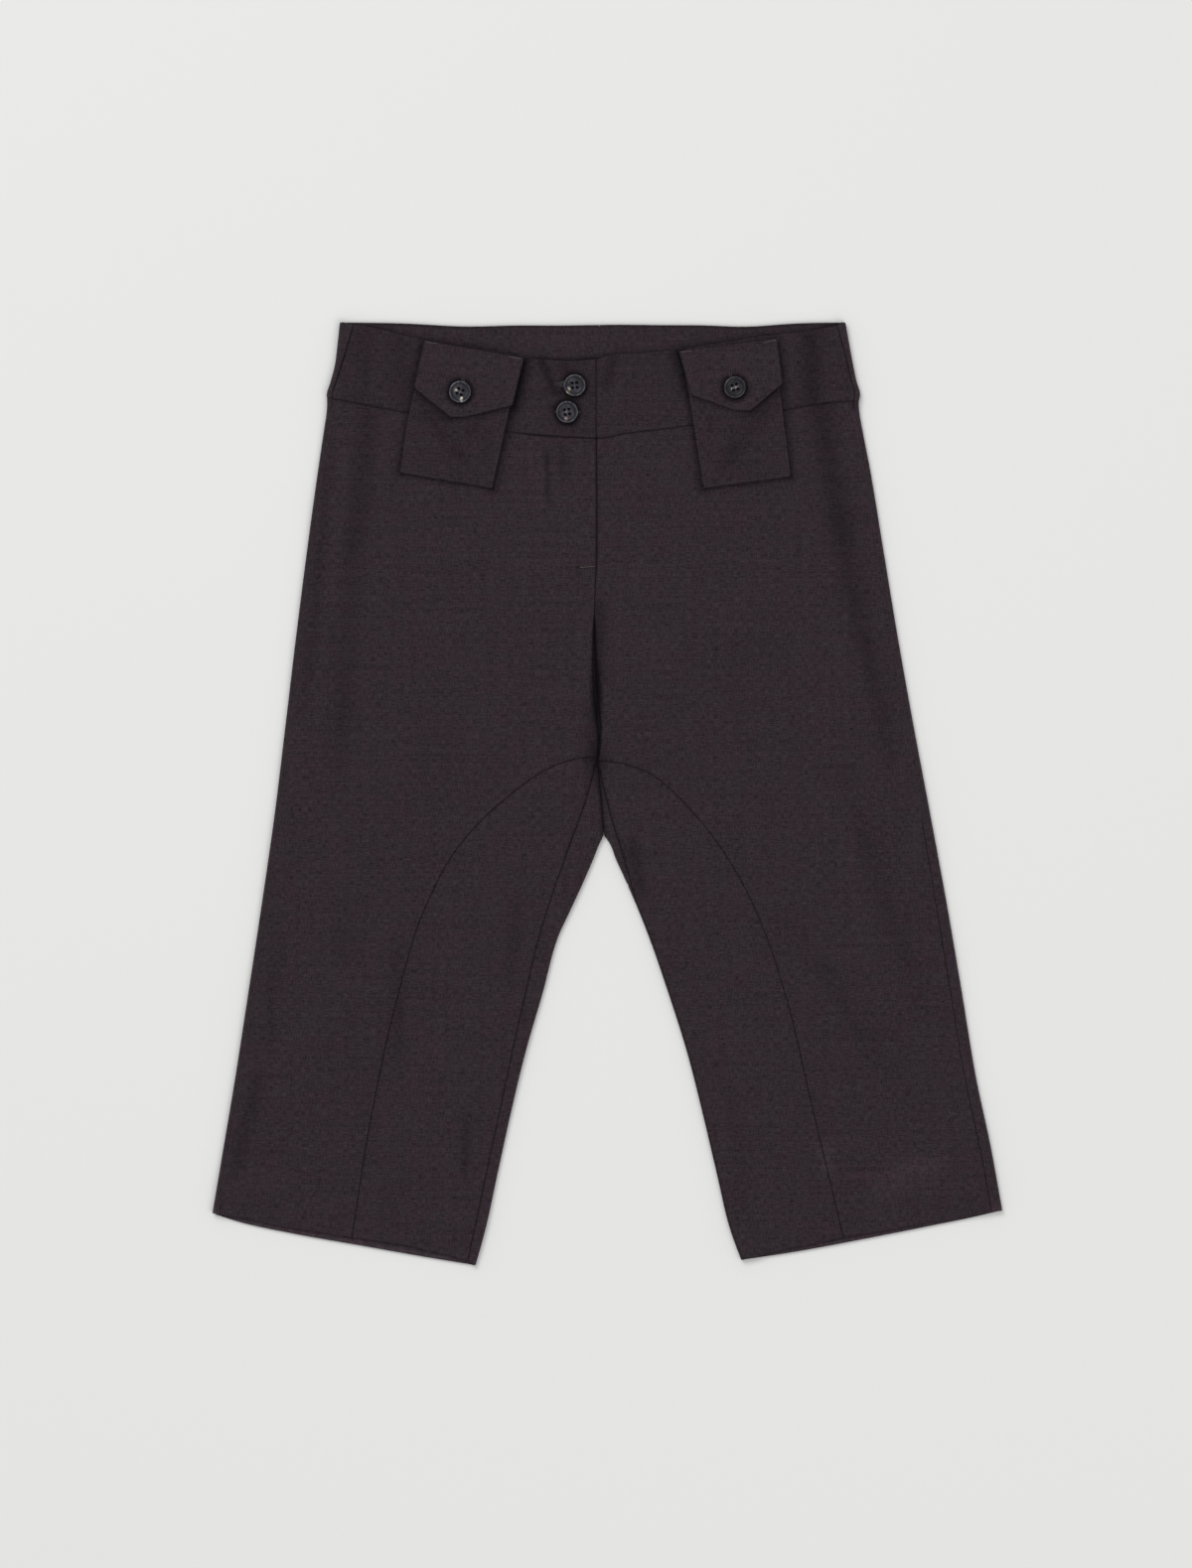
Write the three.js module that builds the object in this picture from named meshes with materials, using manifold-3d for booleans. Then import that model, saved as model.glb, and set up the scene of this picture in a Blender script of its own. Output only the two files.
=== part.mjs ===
// Capri trousers laid flat, front side up, with two buttoned pouch pockets on the waistband.
//
// Millimetres. X runs to the wearer's left, Y up the garment to the waist, Z up off the table.
// Every line of the pattern is kept for one half of the garment as points (away, y): away is the
// distance from the centre front and y the height up the garment, zero at the middle of its length.
// A half is laid out by its sign, -1 for the wearer's right and +1 for the wearer's left.
import * as THREE from 'three';
import * as BufferGeometryUtils from 'three/addons/utils/BufferGeometryUtils.js';
import Module from 'manifold-3d';

const wasm = await Module();
wasm.setup();

// ---------------------------------------------------------------- driving dimensions

const CENTRE_FRONT_X = -8.65; // the fly sits a little to the wearer's right of the middle
const SEAM_GAP = 0.3; // between neighbouring pieces
const FOLD_SEAM_GAP = 0.42; // the same where a seam twists round an inner leg fold

const CLOTH = 1.2; // thickness of the suiting
const BAND_CLOTH = 2.0; // waistband, cloth and facing
const POUCH_CLOTH = 1.0; // each wall of a pouch pocket
const FLAP_CLOTH = 1.4; // pocket flap, two layers
const HEM_EXTRA = 0.5; // what the turned hem adds to the cloth
const HEM_DEPTH = 34; // height of the turned hem
const HEM_FADE = 6; // and half the length over which its thickness fades out

const FOLD_RADIUS = 2.6; // plan width of the round fold at a leg's edge
const BAND_FOLD_RADIUS = 3.2;

// Heights of outer faces above the table.
const PANEL_LIE = 3.3; // front panels, away from folds and seams
const SIDE_RISE = 1.7; // how much higher a front lies at its side fold
const SIDE_SPREAD = 14;
const INNER_RISE = 1.4; // the same at the inner leg fold
const INNER_SPREAD = 11;
const WAIST_RISE = 0.9; // towards the thicker waistband
const WAIST_SPREAD = 18;
const BAND_LIE = 4.6;
const BAND_LAP_LIE = 6.6; // right band, on top of the left band's end
const BAND_UNDER_LIE = 4.3; // left band's end, below the right band
const LAP_LIE = 4.2; // right front over the fly underlap
const UNDERLAP_LIE = 2.7; // fly underlap
const SEAM_DIP = 0.5; // how far both fronts sink to the crotch seam
const SEAM_DIP_SPREAD = 6;

// The fly and the button stand under it.
const FLY_END_Y = 174.5; // bar tack at the foot of the fly
const FLY_RELEASE = 14; // length below it over which the lap flattens out
const UNDERLAP_WIDTH = 33;
const BUTTON_STAND = 40;
const BACK_TOP_DIP = 1.5; // the back waistband's top edge is lower at the centre than at the sides
const LAP_MARGIN = 2; // level past the edge of the piece below
const LAP_FADE = 18; // width over which the lap sinks back to the lie of the front
const UNDER_FADE = 22;

// Where the hip rows end and the leg rows begin, on the side fold.
const LEG_TOP_Y = 34;

// Rows and columns of the panels.
const HIP_ROWS = 10;
const LEG_ROWS = 18;
const FLY_ROWS = 4; // hip rows that have an underlap
const LEG_ROW_CROWDING = 1.25; // draws the leg rows together at the crotch
const INNER_ROW_CROWDING = 1.5; // and further on the inner fold, which starts lower
const CROTCH_SHARE = 0.11; // share of the leg over which the inseam's rows come level with it
const FRONT_COLUMNS = 13;
const INSET_COLUMNS = 6;
const INSET_FOLD_STEPS = 2; // and these where the inset runs over the inner fold
const UNDERLAP_COLUMNS = 2;
const UNDERSIDE_COLUMNS = 5;
const FOLD_STEPS = 4;
const STRIP_COLUMNS = 2;
const WAIST_BEND = 3; // powers by which the rows lose the shape of the waist seam and the hem
const HEM_BEND = 6;
const BAND_ROWS = 3;
const BAND_COLUMNS = 13;
const BAND_BACK_COLUMNS = 5;

const INSEAM_AT_EDGE = 0.9; // plan distance of the inseam from the leg's edge where it lies on the fold
const STRIP_TIP_TRIM = 1; // the crotch points of the backs stop short of the four-way point

const CREASE_END = 0.35; // share of a crease's length over which it dies away at each end

const BUTTON = {
  radius: 8.75,
  thickness: 2.7,
  well: 0.8, // depth of the dished middle
  rim: 1.7,
  bevel: 1.2,
  holeRadius: 0.95,
  holeOffset: 1.9,
  clearance: 0.4,
  sides: 22,
  holeSides: 8,
};

const POCKET = {
  lift: 0.6, // off the waistband
  topMargin: 3, // the pouch starts below the flap's top edge
  sideMargin: 2.2, // and inside its sides
  frontTopMargin: 9,
  swell: 0.9, // fullness of the pouch's front
  swellAtTop: 0.35, // share of it under the flap's top edge
  swellToFoot: 0.9, // share of the pouch's length where it stops falling again
  columns: 5,
  rows: 6,
  flapRows: 4,
};

/** Turns the rows of a short table into objects with the named columns. */
const table = (columns, rows) =>
  rows.map((row) => Object.fromEntries(columns.map((column, index) => [column, row[index]])));

const DOWN = ['y', 'away'];
const ACROSS = ['away', 'y'];
const CREASE = ['onBand', 'fromAway', 'fromY', 'toAway', 'toY', 'width', 'depth'];

// ---------------------------------------------------------------- the laid pattern of each half

const RIGHT = {
  sign: -1,
  laps: true,
  sideFold: table(DOWN, [
    [362, 196], [328, 201], [302, 207], [259, 212.5], [190, 221.5], [121, 230.5], [53, 239],
    [-16, 247.5], [-85, 257], [-153, 267], [-221, 277.5], [-268, 285], [-322, 293.7],
  ]),
  sideSeamInset: table(DOWN, [
    [362, 8], [328, 6.2], [302, 5.4], [280, 4.4], [250, 3.9], [0, 3.9], [-200, 4], [-322, 5.4],
  ]),
  thighSeam: table(DOWN, [
    [28, -1.2], [27.4, 13], [22.2, 30.5], [-5.5, 71.7], [-42.5, 107], [-87.5, 131.2],
    [-160.5, 153.5], [-256.5, 174], [-341, 187.4],
  ]),
  inseam: table(DOWN, [
    [28, -1.2], [-2.5, 7], [-46, 22.5], [-105, 42.4], [-166.5, 57.2], [-260, 77.5], [-358.5, 98.5],
  ]),
  innerFold: table(DOWN, [
    [-32.5, -6], [-38.5, -1.5], [-61.5, 7.6], [-107, 29], [-153, 41.2], [-199, 55],
    [-244.5, 65.6], [-290.5, 75.6], [-336, 85.5], [-362, 92.4],
  ]),
  centreFront: table(DOWN, [
    [274, 0], [174.5, 0], [135, 1.3], [89, 0.8], [66, -0.8], [42.5, -3], [28, -1.2],
  ]),
  centreBack: table(DOWN, [[299.5, -2.3], [-30, -5.8]]),
  waistSeam: table(ACROSS, [
    [0, 273], [31.5, 274.5], [67, 278], [106, 285.4], [145, 292.6], [168, 297], [187, 300.5], [207, 304],
  ]),
  bandTop: table(ACROSS, [
    [0, 333.6], [16, 332.1], [31.5, 332.6], [56.5, 335.2], [93.5, 341.5], [130, 347.8], [152, 353.2],
    [171, 358], [196, 361.6],
  ]),
  backHem: table(ACROSS, [
    [92.4, -362], [129, -356], [180, -347], [233.5, -337.5], [274, -328.7], [293.7, -322.5],
  ]),
  frontHem: table(ACROSS, [
    [92.4, -360], [98.5, -358.5], [123.5, -352], [152.5, -345.6], [191, -340], [217.5, -335.8],
    [239.5, -332.6], [272.5, -325.4], [293.7, -322.3],
  ]),
  creases: table(CREASE, [
    [0, 189, 300, 190, 215, 9, 0.45],
    [0, 232, -150, 256, -250, 12, 0.5],
    [0, 120, 120, 132, -30, 16, 0.35],
    [1, 44, 334, 30, 310, 5, 0.2],
  ]),
  flap: table(ACROSS, [[131.5, 347.6], [55.5, 334.2], [64, 298], [100, 289], [111.5, 289], [139.6, 311.5]]),
  pouchFoot: table(ACROSS, [[150.6, 246.5], [79.5, 234.5]]),
  pouchBow: 2.6,
  pocketButton: { away: 104.2, y: 309 },
};

const LEFT = {
  sign: 1,
  laps: false,
  sideFold: table(DOWN, [
    [362, 191.4], [328, 197.5], [302, 202], [259, 208.6], [190, 219.6], [121, 231.2], [53, 243.5],
    [-16, 256.4], [-85, 269.4], [-153, 281], [-221, 292.4], [-268, 302], [-320, 311],
  ]),
  sideSeamInset: table(DOWN, [
    [362, 6.5], [328, 4.2], [302, 4.4], [200, 5], [60, 5.4], [-60, 8], [-320, 8.4],
  ]),
  thighSeam: table(DOWN, [
    [25.5, 1.2], [23.4, 20], [17.5, 37.5], [-12, 72.5], [-50, 101.5], [-102, 128],
    [-154.5, 145.5], [-239, 165.6], [-341, 190],
  ]),
  inseam: table(DOWN, [
    [25.5, 1.2], [-15.5, 11], [-40, 18.4], [-62, 25.2], [-84.5, 31.4], [-107, 39.5], [-153, 55.5],
    [-199, 70], [-244.5, 81.6], [-290.5, 92.4], [-336, 103.4], [-357.6, 111.4],
  ]),
  innerFold: table(DOWN, [
    [-32.5, 6], [-38.5, 11.4], [-61.5, 20.6], [-84.5, 30.5], [-107, 39.5], [-153, 55.5],
    [-199, 70], [-244.5, 81.6], [-290.5, 92.4], [-336, 103.4], [-358, 111.4],
  ]),
  centreFront: table(DOWN, [
    [274, 0], [174.5, 0], [135, -1.3], [89, -0.8], [66, 0.8], [42.5, 3], [25.5, 1.2],
  ]),
  centreBack: table(DOWN, [[299.5, 2.3], [-30, 5.8]]),
  waistSeam: table(ACROSS, [
    [-40, 277], [-12, 277], [0, 273.5], [25, 277], [42, 279], [74, 283], [110, 289], [145.5, 294.6],
    [166.5, 298.6], [180, 300.6], [202, 301.5],
  ]),
  bandTop: table(ACROSS, [
    [-40, 330.6], [-16, 330], [0, 333.4], [13, 337.3], [30, 338.2], [62, 341], [96, 346],
    [129.5, 351.5], [166.5, 356.2], [191.4, 360.8],
  ]),
  backHem: table(ACROSS, [
    [111.4, -358], [154, -351.5], [205, -342], [250.5, -333], [294, -324], [311, -320],
  ]),
  frontHem: table(ACROSS, [
    [111.4, -357.6], [122, -356], [134.5, -352], [158, -347.4], [191, -340.5], [227.5, -334.4],
    [261.5, -328.4], [274.5, -326.6], [311, -319.8],
  ]),
  creases: table(CREASE, [
    [1, 163, 358, 182, 292, 6, 0.3],
    [0, 181, 296, 204, 66, 10, 0.6],
    [0, 202, 90, 229, -120, 11, 0.55],
    [0, 100, -215, 120, -335, 7, 0.45],
    [0, 110, 130, 104, -10, 16, 0.35],
  ]),
  flap: table(ACROSS, [[138.6, 349], [63.5, 339.6], [73, 306], [107, 294], [118.5, 294], [143, 314.6]]),
  pouchFoot: table(ACROSS, [[149.6, 243.5], [82.5, 234.5]]),
  pouchBow: 0,
  pocketButton: { away: 106.4, y: 312.4 },
};

// Buttons that close the waistband, on the right half.
const WAIST_BUTTONS = [
  { name: 'button_waist_upper', away: 16.4, y: 314 },
  { name: 'button_waist_lower', away: 22.2, y: 293.2 },
];

// ---------------------------------------------------------------- lines and small helpers

const { lerp, smoothstep } = THREE.MathUtils;
const bell = (distance, spread) => Math.exp(-((distance / spread) ** 2));
const mixPoints = (a, b, share) => ({ away: lerp(a.away, b.away, share), y: lerp(a.y, b.y, share) });
const movePoint = (point, direction, distance) => ({
  away: point.away + direction.away * distance,
  y: point.y + direction.y * distance,
});
const shiftUp = (point, distance) => ({ away: point.away, y: point.y + distance });

/** Shares from nought to one at the ends of a number of equal steps. */
const steps = (count) => Array.from({ length: count + 1 }, (_, index) => index / count);

/** Unit direction from one plan point to another. */
function directionTo(from, to) {
  const length = Math.hypot(to.away - from.away, to.y - from.y);
  return { away: (to.away - from.away) / length, y: (to.y - from.y) / length };
}

/** A smooth pattern line through the points of a table. */
class Line {
  static SAMPLES = 400;

  constructor(rows) {
    const points = rows.map(({ away, y }) => new THREE.Vector3(away, y, 0));
    this.curve = new THREE.CatmullRomCurve3(points, false, 'chordal');
    this.curve.arcLengthDivisions = Line.SAMPLES;
    this.samples = this.curve.getPoints(Line.SAMPLES);
  }

  /** Value of one coordinate where the other has the given value, held at the line's ends. */
  crossing(known, wanted, value) {
    const rising = this.samples.at(-1)[known] > this.samples[0][known];
    const passed = (sample) => (rising ? sample[known] >= value : sample[known] <= value);
    const index = Math.max(1, this.samples.findIndex(passed));
    const last = this.samples.some(passed) ? index : this.samples.length - 1;
    const [before, after] = [this.samples[last - 1], this.samples[last]];
    const share = THREE.MathUtils.clamp((value - before[known]) / (after[known] - before[known]), 0, 1);
    return lerp(before[wanted], after[wanted], share);
  }

  awayAt(y) {
    return this.crossing('y', 'x', y);
  }

  yAt(away) {
    return this.crossing('x', 'y', away);
  }

  pointAtHeight(y) {
    return { away: this.awayAt(y), y };
  }

  pointAlong(share) {
    const point = this.curve.getPointAt(share);
    return { away: point.x, y: point.y };
  }

  /** Unit vector across the line at a share of its length, turned towards the side fold. */
  outwardAlong(share) {
    const tangent = this.curve.getTangentAt(share);
    return { away: -tangent.y, y: tangent.x };
  }

  /** The same at a height, for lines that run down the leg. */
  outwardAtHeight(y) {
    const step = 1;
    const run = { away: this.awayAt(y - step) - this.awayAt(y + step), y: -2 * step };
    const length = Math.hypot(run.away, run.y);
    return { away: -run.y / length, y: run.away / length };
  }
}

const LINE_NAMES = [
  'sideFold', 'sideSeamInset', 'thighSeam', 'inseam', 'innerFold', 'centreFront', 'centreBack',
  'waistSeam', 'bandTop', 'backHem', 'frontHem',
];

/** Swaps each line's table of a half for the smooth line through it. */
function drawHalf(pattern) {
  const half = { ...pattern };
  LINE_NAMES.forEach((name) => {
    half[name] = new Line(pattern[name]);
  });
  half.crotch = pattern.innerFold[0];
  half.fourWay = pattern.inseam[0];
  half.waistFoldY = pattern.waistSeam.at(-1).y;
  half.hemFoldY = pattern.backHem.at(-1).y;
  half.hemInnerY = pattern.backHem[0].y;
  half.hemInseamY = pattern.inseam.at(-1).y;
  return half;
}

const HALVES = { right: drawHalf(RIGHT), left: drawHalf(LEFT) };

// ---------------------------------------------------------------- heights of the laid cloth

/** Depth at a point of the soft creases that lie on the band or on the panels of a half. */
function creaseDepth(half, onBand, { away, y }) {
  return half.creases
    .filter((crease) => Boolean(crease.onBand) === onBand)
    .reduce((sum, crease) => {
      const run = { away: crease.toAway - crease.fromAway, y: crease.toY - crease.fromY };
      const reach = { away: away - crease.fromAway, y: y - crease.fromY };
      const length = Math.hypot(run.away, run.y);
      const along = (reach.away * run.away + reach.y * run.y) / length ** 2;
      const across = (reach.away * run.y - reach.y * run.away) / length;
      const ends = smoothstep(along, 0, CREASE_END) * (1 - smoothstep(along, 1 - CREASE_END, 1));
      return sum + crease.depth * ends * bell(across, crease.width);
    }, 0);
}

/** What the turned hem adds to the cloth at a height above the hem's edge. */
const hemThickening = (aboveHem) =>
  HEM_EXTRA * (1 - smoothstep(aboveHem, HEM_DEPTH - HEM_FADE, HEM_DEPTH + HEM_FADE));

/** One where two layers overlap, fading to zero past the end of the overlap. */
const lapShareAt = (fromCentre, end, fade) =>
  1 - smoothstep(fromCentre, end + LAP_MARGIN, end + LAP_MARGIN + fade);

/** Height of the outer face of a front, thigh inset or folded-over back edge. */
function panelHeight(half, point) {
  const { away, y } = point;
  const fromSide = half.sideFold.awayAt(y) - away;
  const fromInner = y < half.crotch.y
    ? away - half.innerFold.awayAt(y)
    : Math.hypot(away - half.crotch.away, y - half.crotch.y);
  const waist = WAIST_RISE * bell(half.waistSeam.yAt(away) - y, WAIST_SPREAD);
  const fromCentre = away - half.centreFront.awayAt(y);
  const onFly = smoothstep(y, FLY_END_Y - FLY_RELEASE, FLY_END_Y);
  const onSeam = (1 - onFly) * smoothstep(y, half.fourWay.y - SEAM_DIP_SPREAD, half.fourWay.y);
  const free = PANEL_LIE
    + SIDE_RISE * bell(fromSide, SIDE_SPREAD)
    + INNER_RISE * bell(fromInner, INNER_SPREAD)
    + waist
    + hemThickening(y - half.frontHem.yAt(away))
    - SEAM_DIP * onSeam * bell(fromCentre, SEAM_DIP_SPREAD)
    - creaseDepth(half, false, point);
  const lapped = (half.laps ? LAP_LIE : UNDERLAP_LIE) + waist;
  const lapShare = half.laps
    ? lapShareAt(fromCentre, UNDERLAP_WIDTH, LAP_FADE)
    : lapShareAt(fromCentre, 0, UNDER_FADE);
  return lerp(free, lapped, lapShare * onFly);
}

/** Height of the outer face of the front waistband. */
function bandHeight(half, point) {
  const fromSide = half.sideFold.awayAt(point.y) - point.away;
  const free = BAND_LIE + SIDE_RISE * bell(fromSide, SIDE_SPREAD) - creaseDepth(half, true, point);
  const lapShare = half.laps
    ? lapShareAt(point.away, BUTTON_STAND, LAP_FADE)
    : lapShareAt(point.away, 0, UNDER_FADE);
  return lerp(free, half.laps ? BAND_LAP_LIE : BAND_UNDER_LIE, lapShare);
}

/** Height of whichever lies on top at a point, easing from the band down to the panel below it. */
function frontHeight(half, point) {
  const share = smoothstep(point.y - half.waistSeam.yAt(point.away), -WAIST_SPREAD, 0);
  return lerp(panelHeight(half, point), Math.max(bandHeight(half, point), panelHeight(half, point)), share);
}

// ---------------------------------------------------------------- samples of a surface

// A plan point also says which face it lies on: 'top', 'under', or 'fold' with its place on the fold.
const top = (point) => ({ ...point, face: 'top' });
const under = (point) => ({ ...point, face: 'under' });

/**
 * Point on a round fold. The section is half an ellipse that starts flat on the table, passes the
 * edge of the garment at a quarter turn and ends level with the cloth on top at half a turn.
 */
function folded(edge, inward, radius, turn) {
  const plan = movePoint(edge, inward, radius * (1 - Math.sin(turn)));
  return { ...plan, face: 'fold', edge, inward, radius, turn };
}

/** Position and outward normal of a plan point on cloth whose top has the given height. */
function sampleOf(half, height, point) {
  const x = CENTRE_FRONT_X + half.sign * point.away;
  if (point.face === 'under') {
    return { position: new THREE.Vector3(x, point.y, 0), normal: new THREE.Vector3(0, 0, -1) };
  }
  if (point.face === 'fold') {
    const { edge, inward, radius, turn } = point;
    const middle = height(movePoint(edge, inward, radius)) / 2;
    const outwardPart = Math.sin(turn) * middle;
    return {
      position: new THREE.Vector3(x, point.y, middle * (1 - Math.cos(turn))),
      normal: new THREE.Vector3(
        -half.sign * inward.away * outwardPart,
        -inward.y * outwardPart,
        -Math.cos(turn) * radius,
      ).normalize(),
    };
  }
  const step = 0.5;
  const heightAt = (axis, shift) => height({ ...point, [axis]: point[axis] + shift });
  const slope = (axis) => (heightAt(axis, step) - heightAt(axis, -step)) / (2 * step);
  return {
    position: new THREE.Vector3(x, point.y, height(point)),
    normal: new THREE.Vector3(-half.sign * slope('away'), -slope('y'), 1).normalize(),
  };
}

/** Samples of a whole plan grid. */
const sampleGrid = (half, height, rows) =>
  rows.map((row) => row.map((point) => sampleOf(half, height, point)));

/**
 * Shifts the points of a plan grid along y so that one of its rows lies on a line. The other rows
 * follow by their weights, and points on a fold stay.
 */
function bendOnto(line, rows, index, weights, shift = 0) {
  const onFold = (point) => point.face === 'fold';
  const offsets = rows[index].map((point) => (onFold(point) ? 0 : line.yAt(point.away) + shift - point.y));
  const bend = (point, offset) => (onFold(point) ? point : { ...point, y: point.y + offset });
  return rows.map((row, place) => row.map((point, column) => bend(point, offsets[column] * weights[place])));
}

// ---------------------------------------------------------------- closed walls from surfaces

/**
 * Makes one closed cloth wall from grids of outer samples: the outer face, the same face moved
 * inwards by the thickness, and the rim round every free edge. Samples at the same place are one
 * vertex, so grids join where they share a row or column, and a row may shrink to a point.
 */
function clothWall(grids, thickness) {
  const outer = [];
  const indexByPlace = new Map();
  const indexOf = (sample) => {
    const place = sample.position.toArray().map((value) => Math.round(value * 1e4)).join(' ');
    if (!indexByPlace.has(place)) {
      indexByPlace.set(place, outer.length);
      outer.push(sample);
    }
    return indexByPlace.get(place);
  };

  const faces = [];
  const addFace = (corners) => {
    if (new Set(corners).size < 3) return;
    const [a, b, c] = corners.map((index) => outer[index].position);
    const facing = new THREE.Vector3().crossVectors(b.clone().sub(a), c.clone().sub(a));
    const outwards = corners.reduce((sum, index) => sum.add(outer[index].normal), new THREE.Vector3());
    faces.push(facing.dot(outwards) > 0 ? corners : [corners[0], corners[2], corners[1]]);
  };
  grids.forEach((grid) => {
    const indices = grid.map((row) => row.map(indexOf));
    for (let row = 0; row + 1 < indices.length; row += 1) {
      for (let column = 0; column + 1 < indices[row].length; column += 1) {
        const [a, b] = [indices[row][column], indices[row][column + 1]];
        const [d, c] = [indices[row + 1][column], indices[row + 1][column + 1]];
        addFace([a, b, c]);
        addFace([a, c, d]);
      }
    }
  });

  const wallAt = typeof thickness === 'function' ? thickness : () => thickness;
  const inner = outer.map((sample) =>
    sample.position.clone().addScaledVector(sample.normal, -wallAt(sample.position)));
  const shift = outer.length;
  const triangles = faces.flatMap(([a, b, c]) => [a, b, c, a + shift, c + shift, b + shift]);
  const edgeKey = (from, to) => `${from} ${to}`;
  const edges = new Set(faces.flatMap(([a, b, c]) => [edgeKey(a, b), edgeKey(b, c), edgeKey(c, a)]));
  faces.forEach(([a, b, c]) => {
    [[a, b], [b, c], [c, a]].forEach(([from, to]) => {
      if (edges.has(edgeKey(to, from))) return;
      triangles.push(to, from, from + shift, to, from + shift, to + shift);
    });
  });

  const geometry = new THREE.BufferGeometry();
  const positions = [...outer.map((sample) => sample.position), ...inner].flatMap((point) => point.toArray());
  geometry.setAttribute('position', new THREE.Float32BufferAttribute(positions, 3));
  geometry.setIndex(triangles);
  return geometry;
}

// ---------------------------------------------------------------- sections of a half

/** Share of the leg's length that a row lies down from the crotch. */
const legShare = (row) => (row / LEG_ROWS) ** LEG_ROW_CROWDING;

const hipRows = steps(HIP_ROWS).map((_, row) => row);
const legRows = steps(LEG_ROWS).map((_, row) => row);

/** Where a hip row starts on the side fold and ends at the centre, front and back. */
function hipSection(half, row) {
  const share = row / HIP_ROWS;
  const foldY = lerp(half.waistFoldY, LEG_TOP_Y, share);
  const seamGap = row <= FLY_ROWS ? 0 : SEAM_GAP / 2;
  const frontY = lerp(half.centreFront.samples[0].y, half.fourWay.y, share);
  const backAway = lerp(half.centreBack.samples[0].x, half.crotch.away, share);
  const backY = lerp(half.centreBack.samples[0].y, half.crotch.y + FOLD_RADIUS, share);
  return {
    fold: half.sideFold.pointAtHeight(foldY),
    centreFront: { away: half.centreFront.awayAt(frontY) + seamGap, y: frontY },
    centreBack: { away: backAway + SEAM_GAP / 2, y: backY },
  };
}

/** The lines that a leg row crosses, and the directions across them. */
function legSection(half, row) {
  const share = legShare(row);
  const innerY = lerp(half.crotch.y, half.hemInnerY, share ** INNER_ROW_CROWDING);
  const lead = Math.max(0, 1 - share / CROTCH_SHARE) ** 2;
  const [riseAtCrotch, riseAtHem] = [half.fourWay.y - half.crotch.y, half.hemInseamY - half.hemInnerY];
  const inseamY = innerY + riseAtCrotch * lead + riseAtHem * share;
  const acrossFold = half.innerFold.outwardAtHeight(innerY);
  const turned = smoothstep(share, 0, CROTCH_SHARE);
  const across = { away: acrossFold.away * turned, y: lerp(1, acrossFold.y, turned) };
  const inward = directionTo({ away: 0, y: 0 }, across);
  const innerEdge = half.innerFold.pointAtHeight(innerY);
  if (row === 0) innerEdge.away += SEAM_GAP / 2;
  return {
    fold: half.sideFold.pointAtHeight(lerp(LEG_TOP_Y, half.hemFoldY, share)),
    thigh: half.thighSeam.pointAlong(share),
    thighOutward: half.thighSeam.outwardAlong(share),
    inseam: half.inseam.pointAtHeight(inseamY),
    inseamOutward: half.inseam.outwardAtHeight(inseamY),
    innerEdge,
    inward,
  };
}

/** Plan distance of the inseam from the leg's edge, never less than where it lies on the fold. */
const inseamDepth = ({ inseam, innerEdge }) =>
  Math.max(INSEAM_AT_EDGE, Math.hypot(inseam.away - innerEdge.away, inseam.y - innerEdge.y));

/** Whether the inseam of a section lies on the round of the inner fold. */
const inseamOnFold = (section) => inseamDepth(section) < FOLD_RADIUS + 2 * SEAM_GAP;

/** How far round a panel's fold the inseam lies, moved in from the edge by a plan distance. */
function inseamTurn(section, shift) {
  const depth = Math.min(inseamDepth(section), FOLD_RADIUS - SEAM_GAP) + shift;
  return Math.PI / 2 + Math.acos(1 - depth / FOLD_RADIUS);
}

// ---------------------------------------------------------------- backs

/** Plan points of a back from the side seam on top, round the side fold and along the table. */
function backSideRow(half, fold, far) {
  const inward = directionTo(fold, far);
  const tangentPoint = movePoint(fold, inward, FOLD_RADIUS);
  const seam = movePoint(fold, inward, half.sideSeamInset.awayAt(fold.y) - SEAM_GAP / 2);
  const turns = steps(FOLD_STEPS).reverse().slice(1);
  const flat = steps(UNDERSIDE_COLUMNS).slice(1);
  return [
    top(seam),
    top(tangentPoint),
    ...turns.map((share) => folded(fold, inward, FOLD_RADIUS, Math.PI * share)),
    ...flat.map((share) => under(mixPoints(tangentPoint, far, share))),
  ];
}

/** Plan points of a back from the table round the inner fold and up to the inseam on top. */
function backInnerRow(section, row) {
  const { innerEdge, inward } = section;
  if (inseamOnFold(section)) {
    const lastTurn = inseamTurn(section, -FOLD_SEAM_GAP / 2);
    return steps(FOLD_STEPS + STRIP_COLUMNS).map((share) =>
      folded(innerEdge, inward, FOLD_RADIUS, lastTurn * share));
  }
  const tangentPoint = movePoint(innerEdge, inward, FOLD_RADIUS);
  const seam = row === 0
    ? { away: section.inseam.away + SEAM_GAP / 2, y: section.inseam.y - STRIP_TIP_TRIM }
    : movePoint(section.inseam, section.inseamOutward, -SEAM_GAP / 2);
  const turns = steps(FOLD_STEPS).slice(0, -1);
  return [
    ...turns.map((share) => folded(innerEdge, inward, FOLD_RADIUS, Math.PI * share)),
    ...steps(STRIP_COLUMNS).map((share) => top(mixPoints(tangentPoint, seam, share))),
  ];
}

/** Cloth thickness of a panel, thicker inside the turned hem. */
function panelThickness(half, hemLine) {
  return (position) => {
    const away = (position.x - CENTRE_FRONT_X) * half.sign;
    return CLOTH + hemThickening(position.y - hemLine.yAt(away));
  };
}

/** Weights by which the leg rows follow the hem's shape, none at the hips. */
const hemWeights = () =>
  [...hipRows.map(() => 0), ...legRows.slice(1).map((row) => legShare(row) ** HEM_BEND)];

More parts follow.
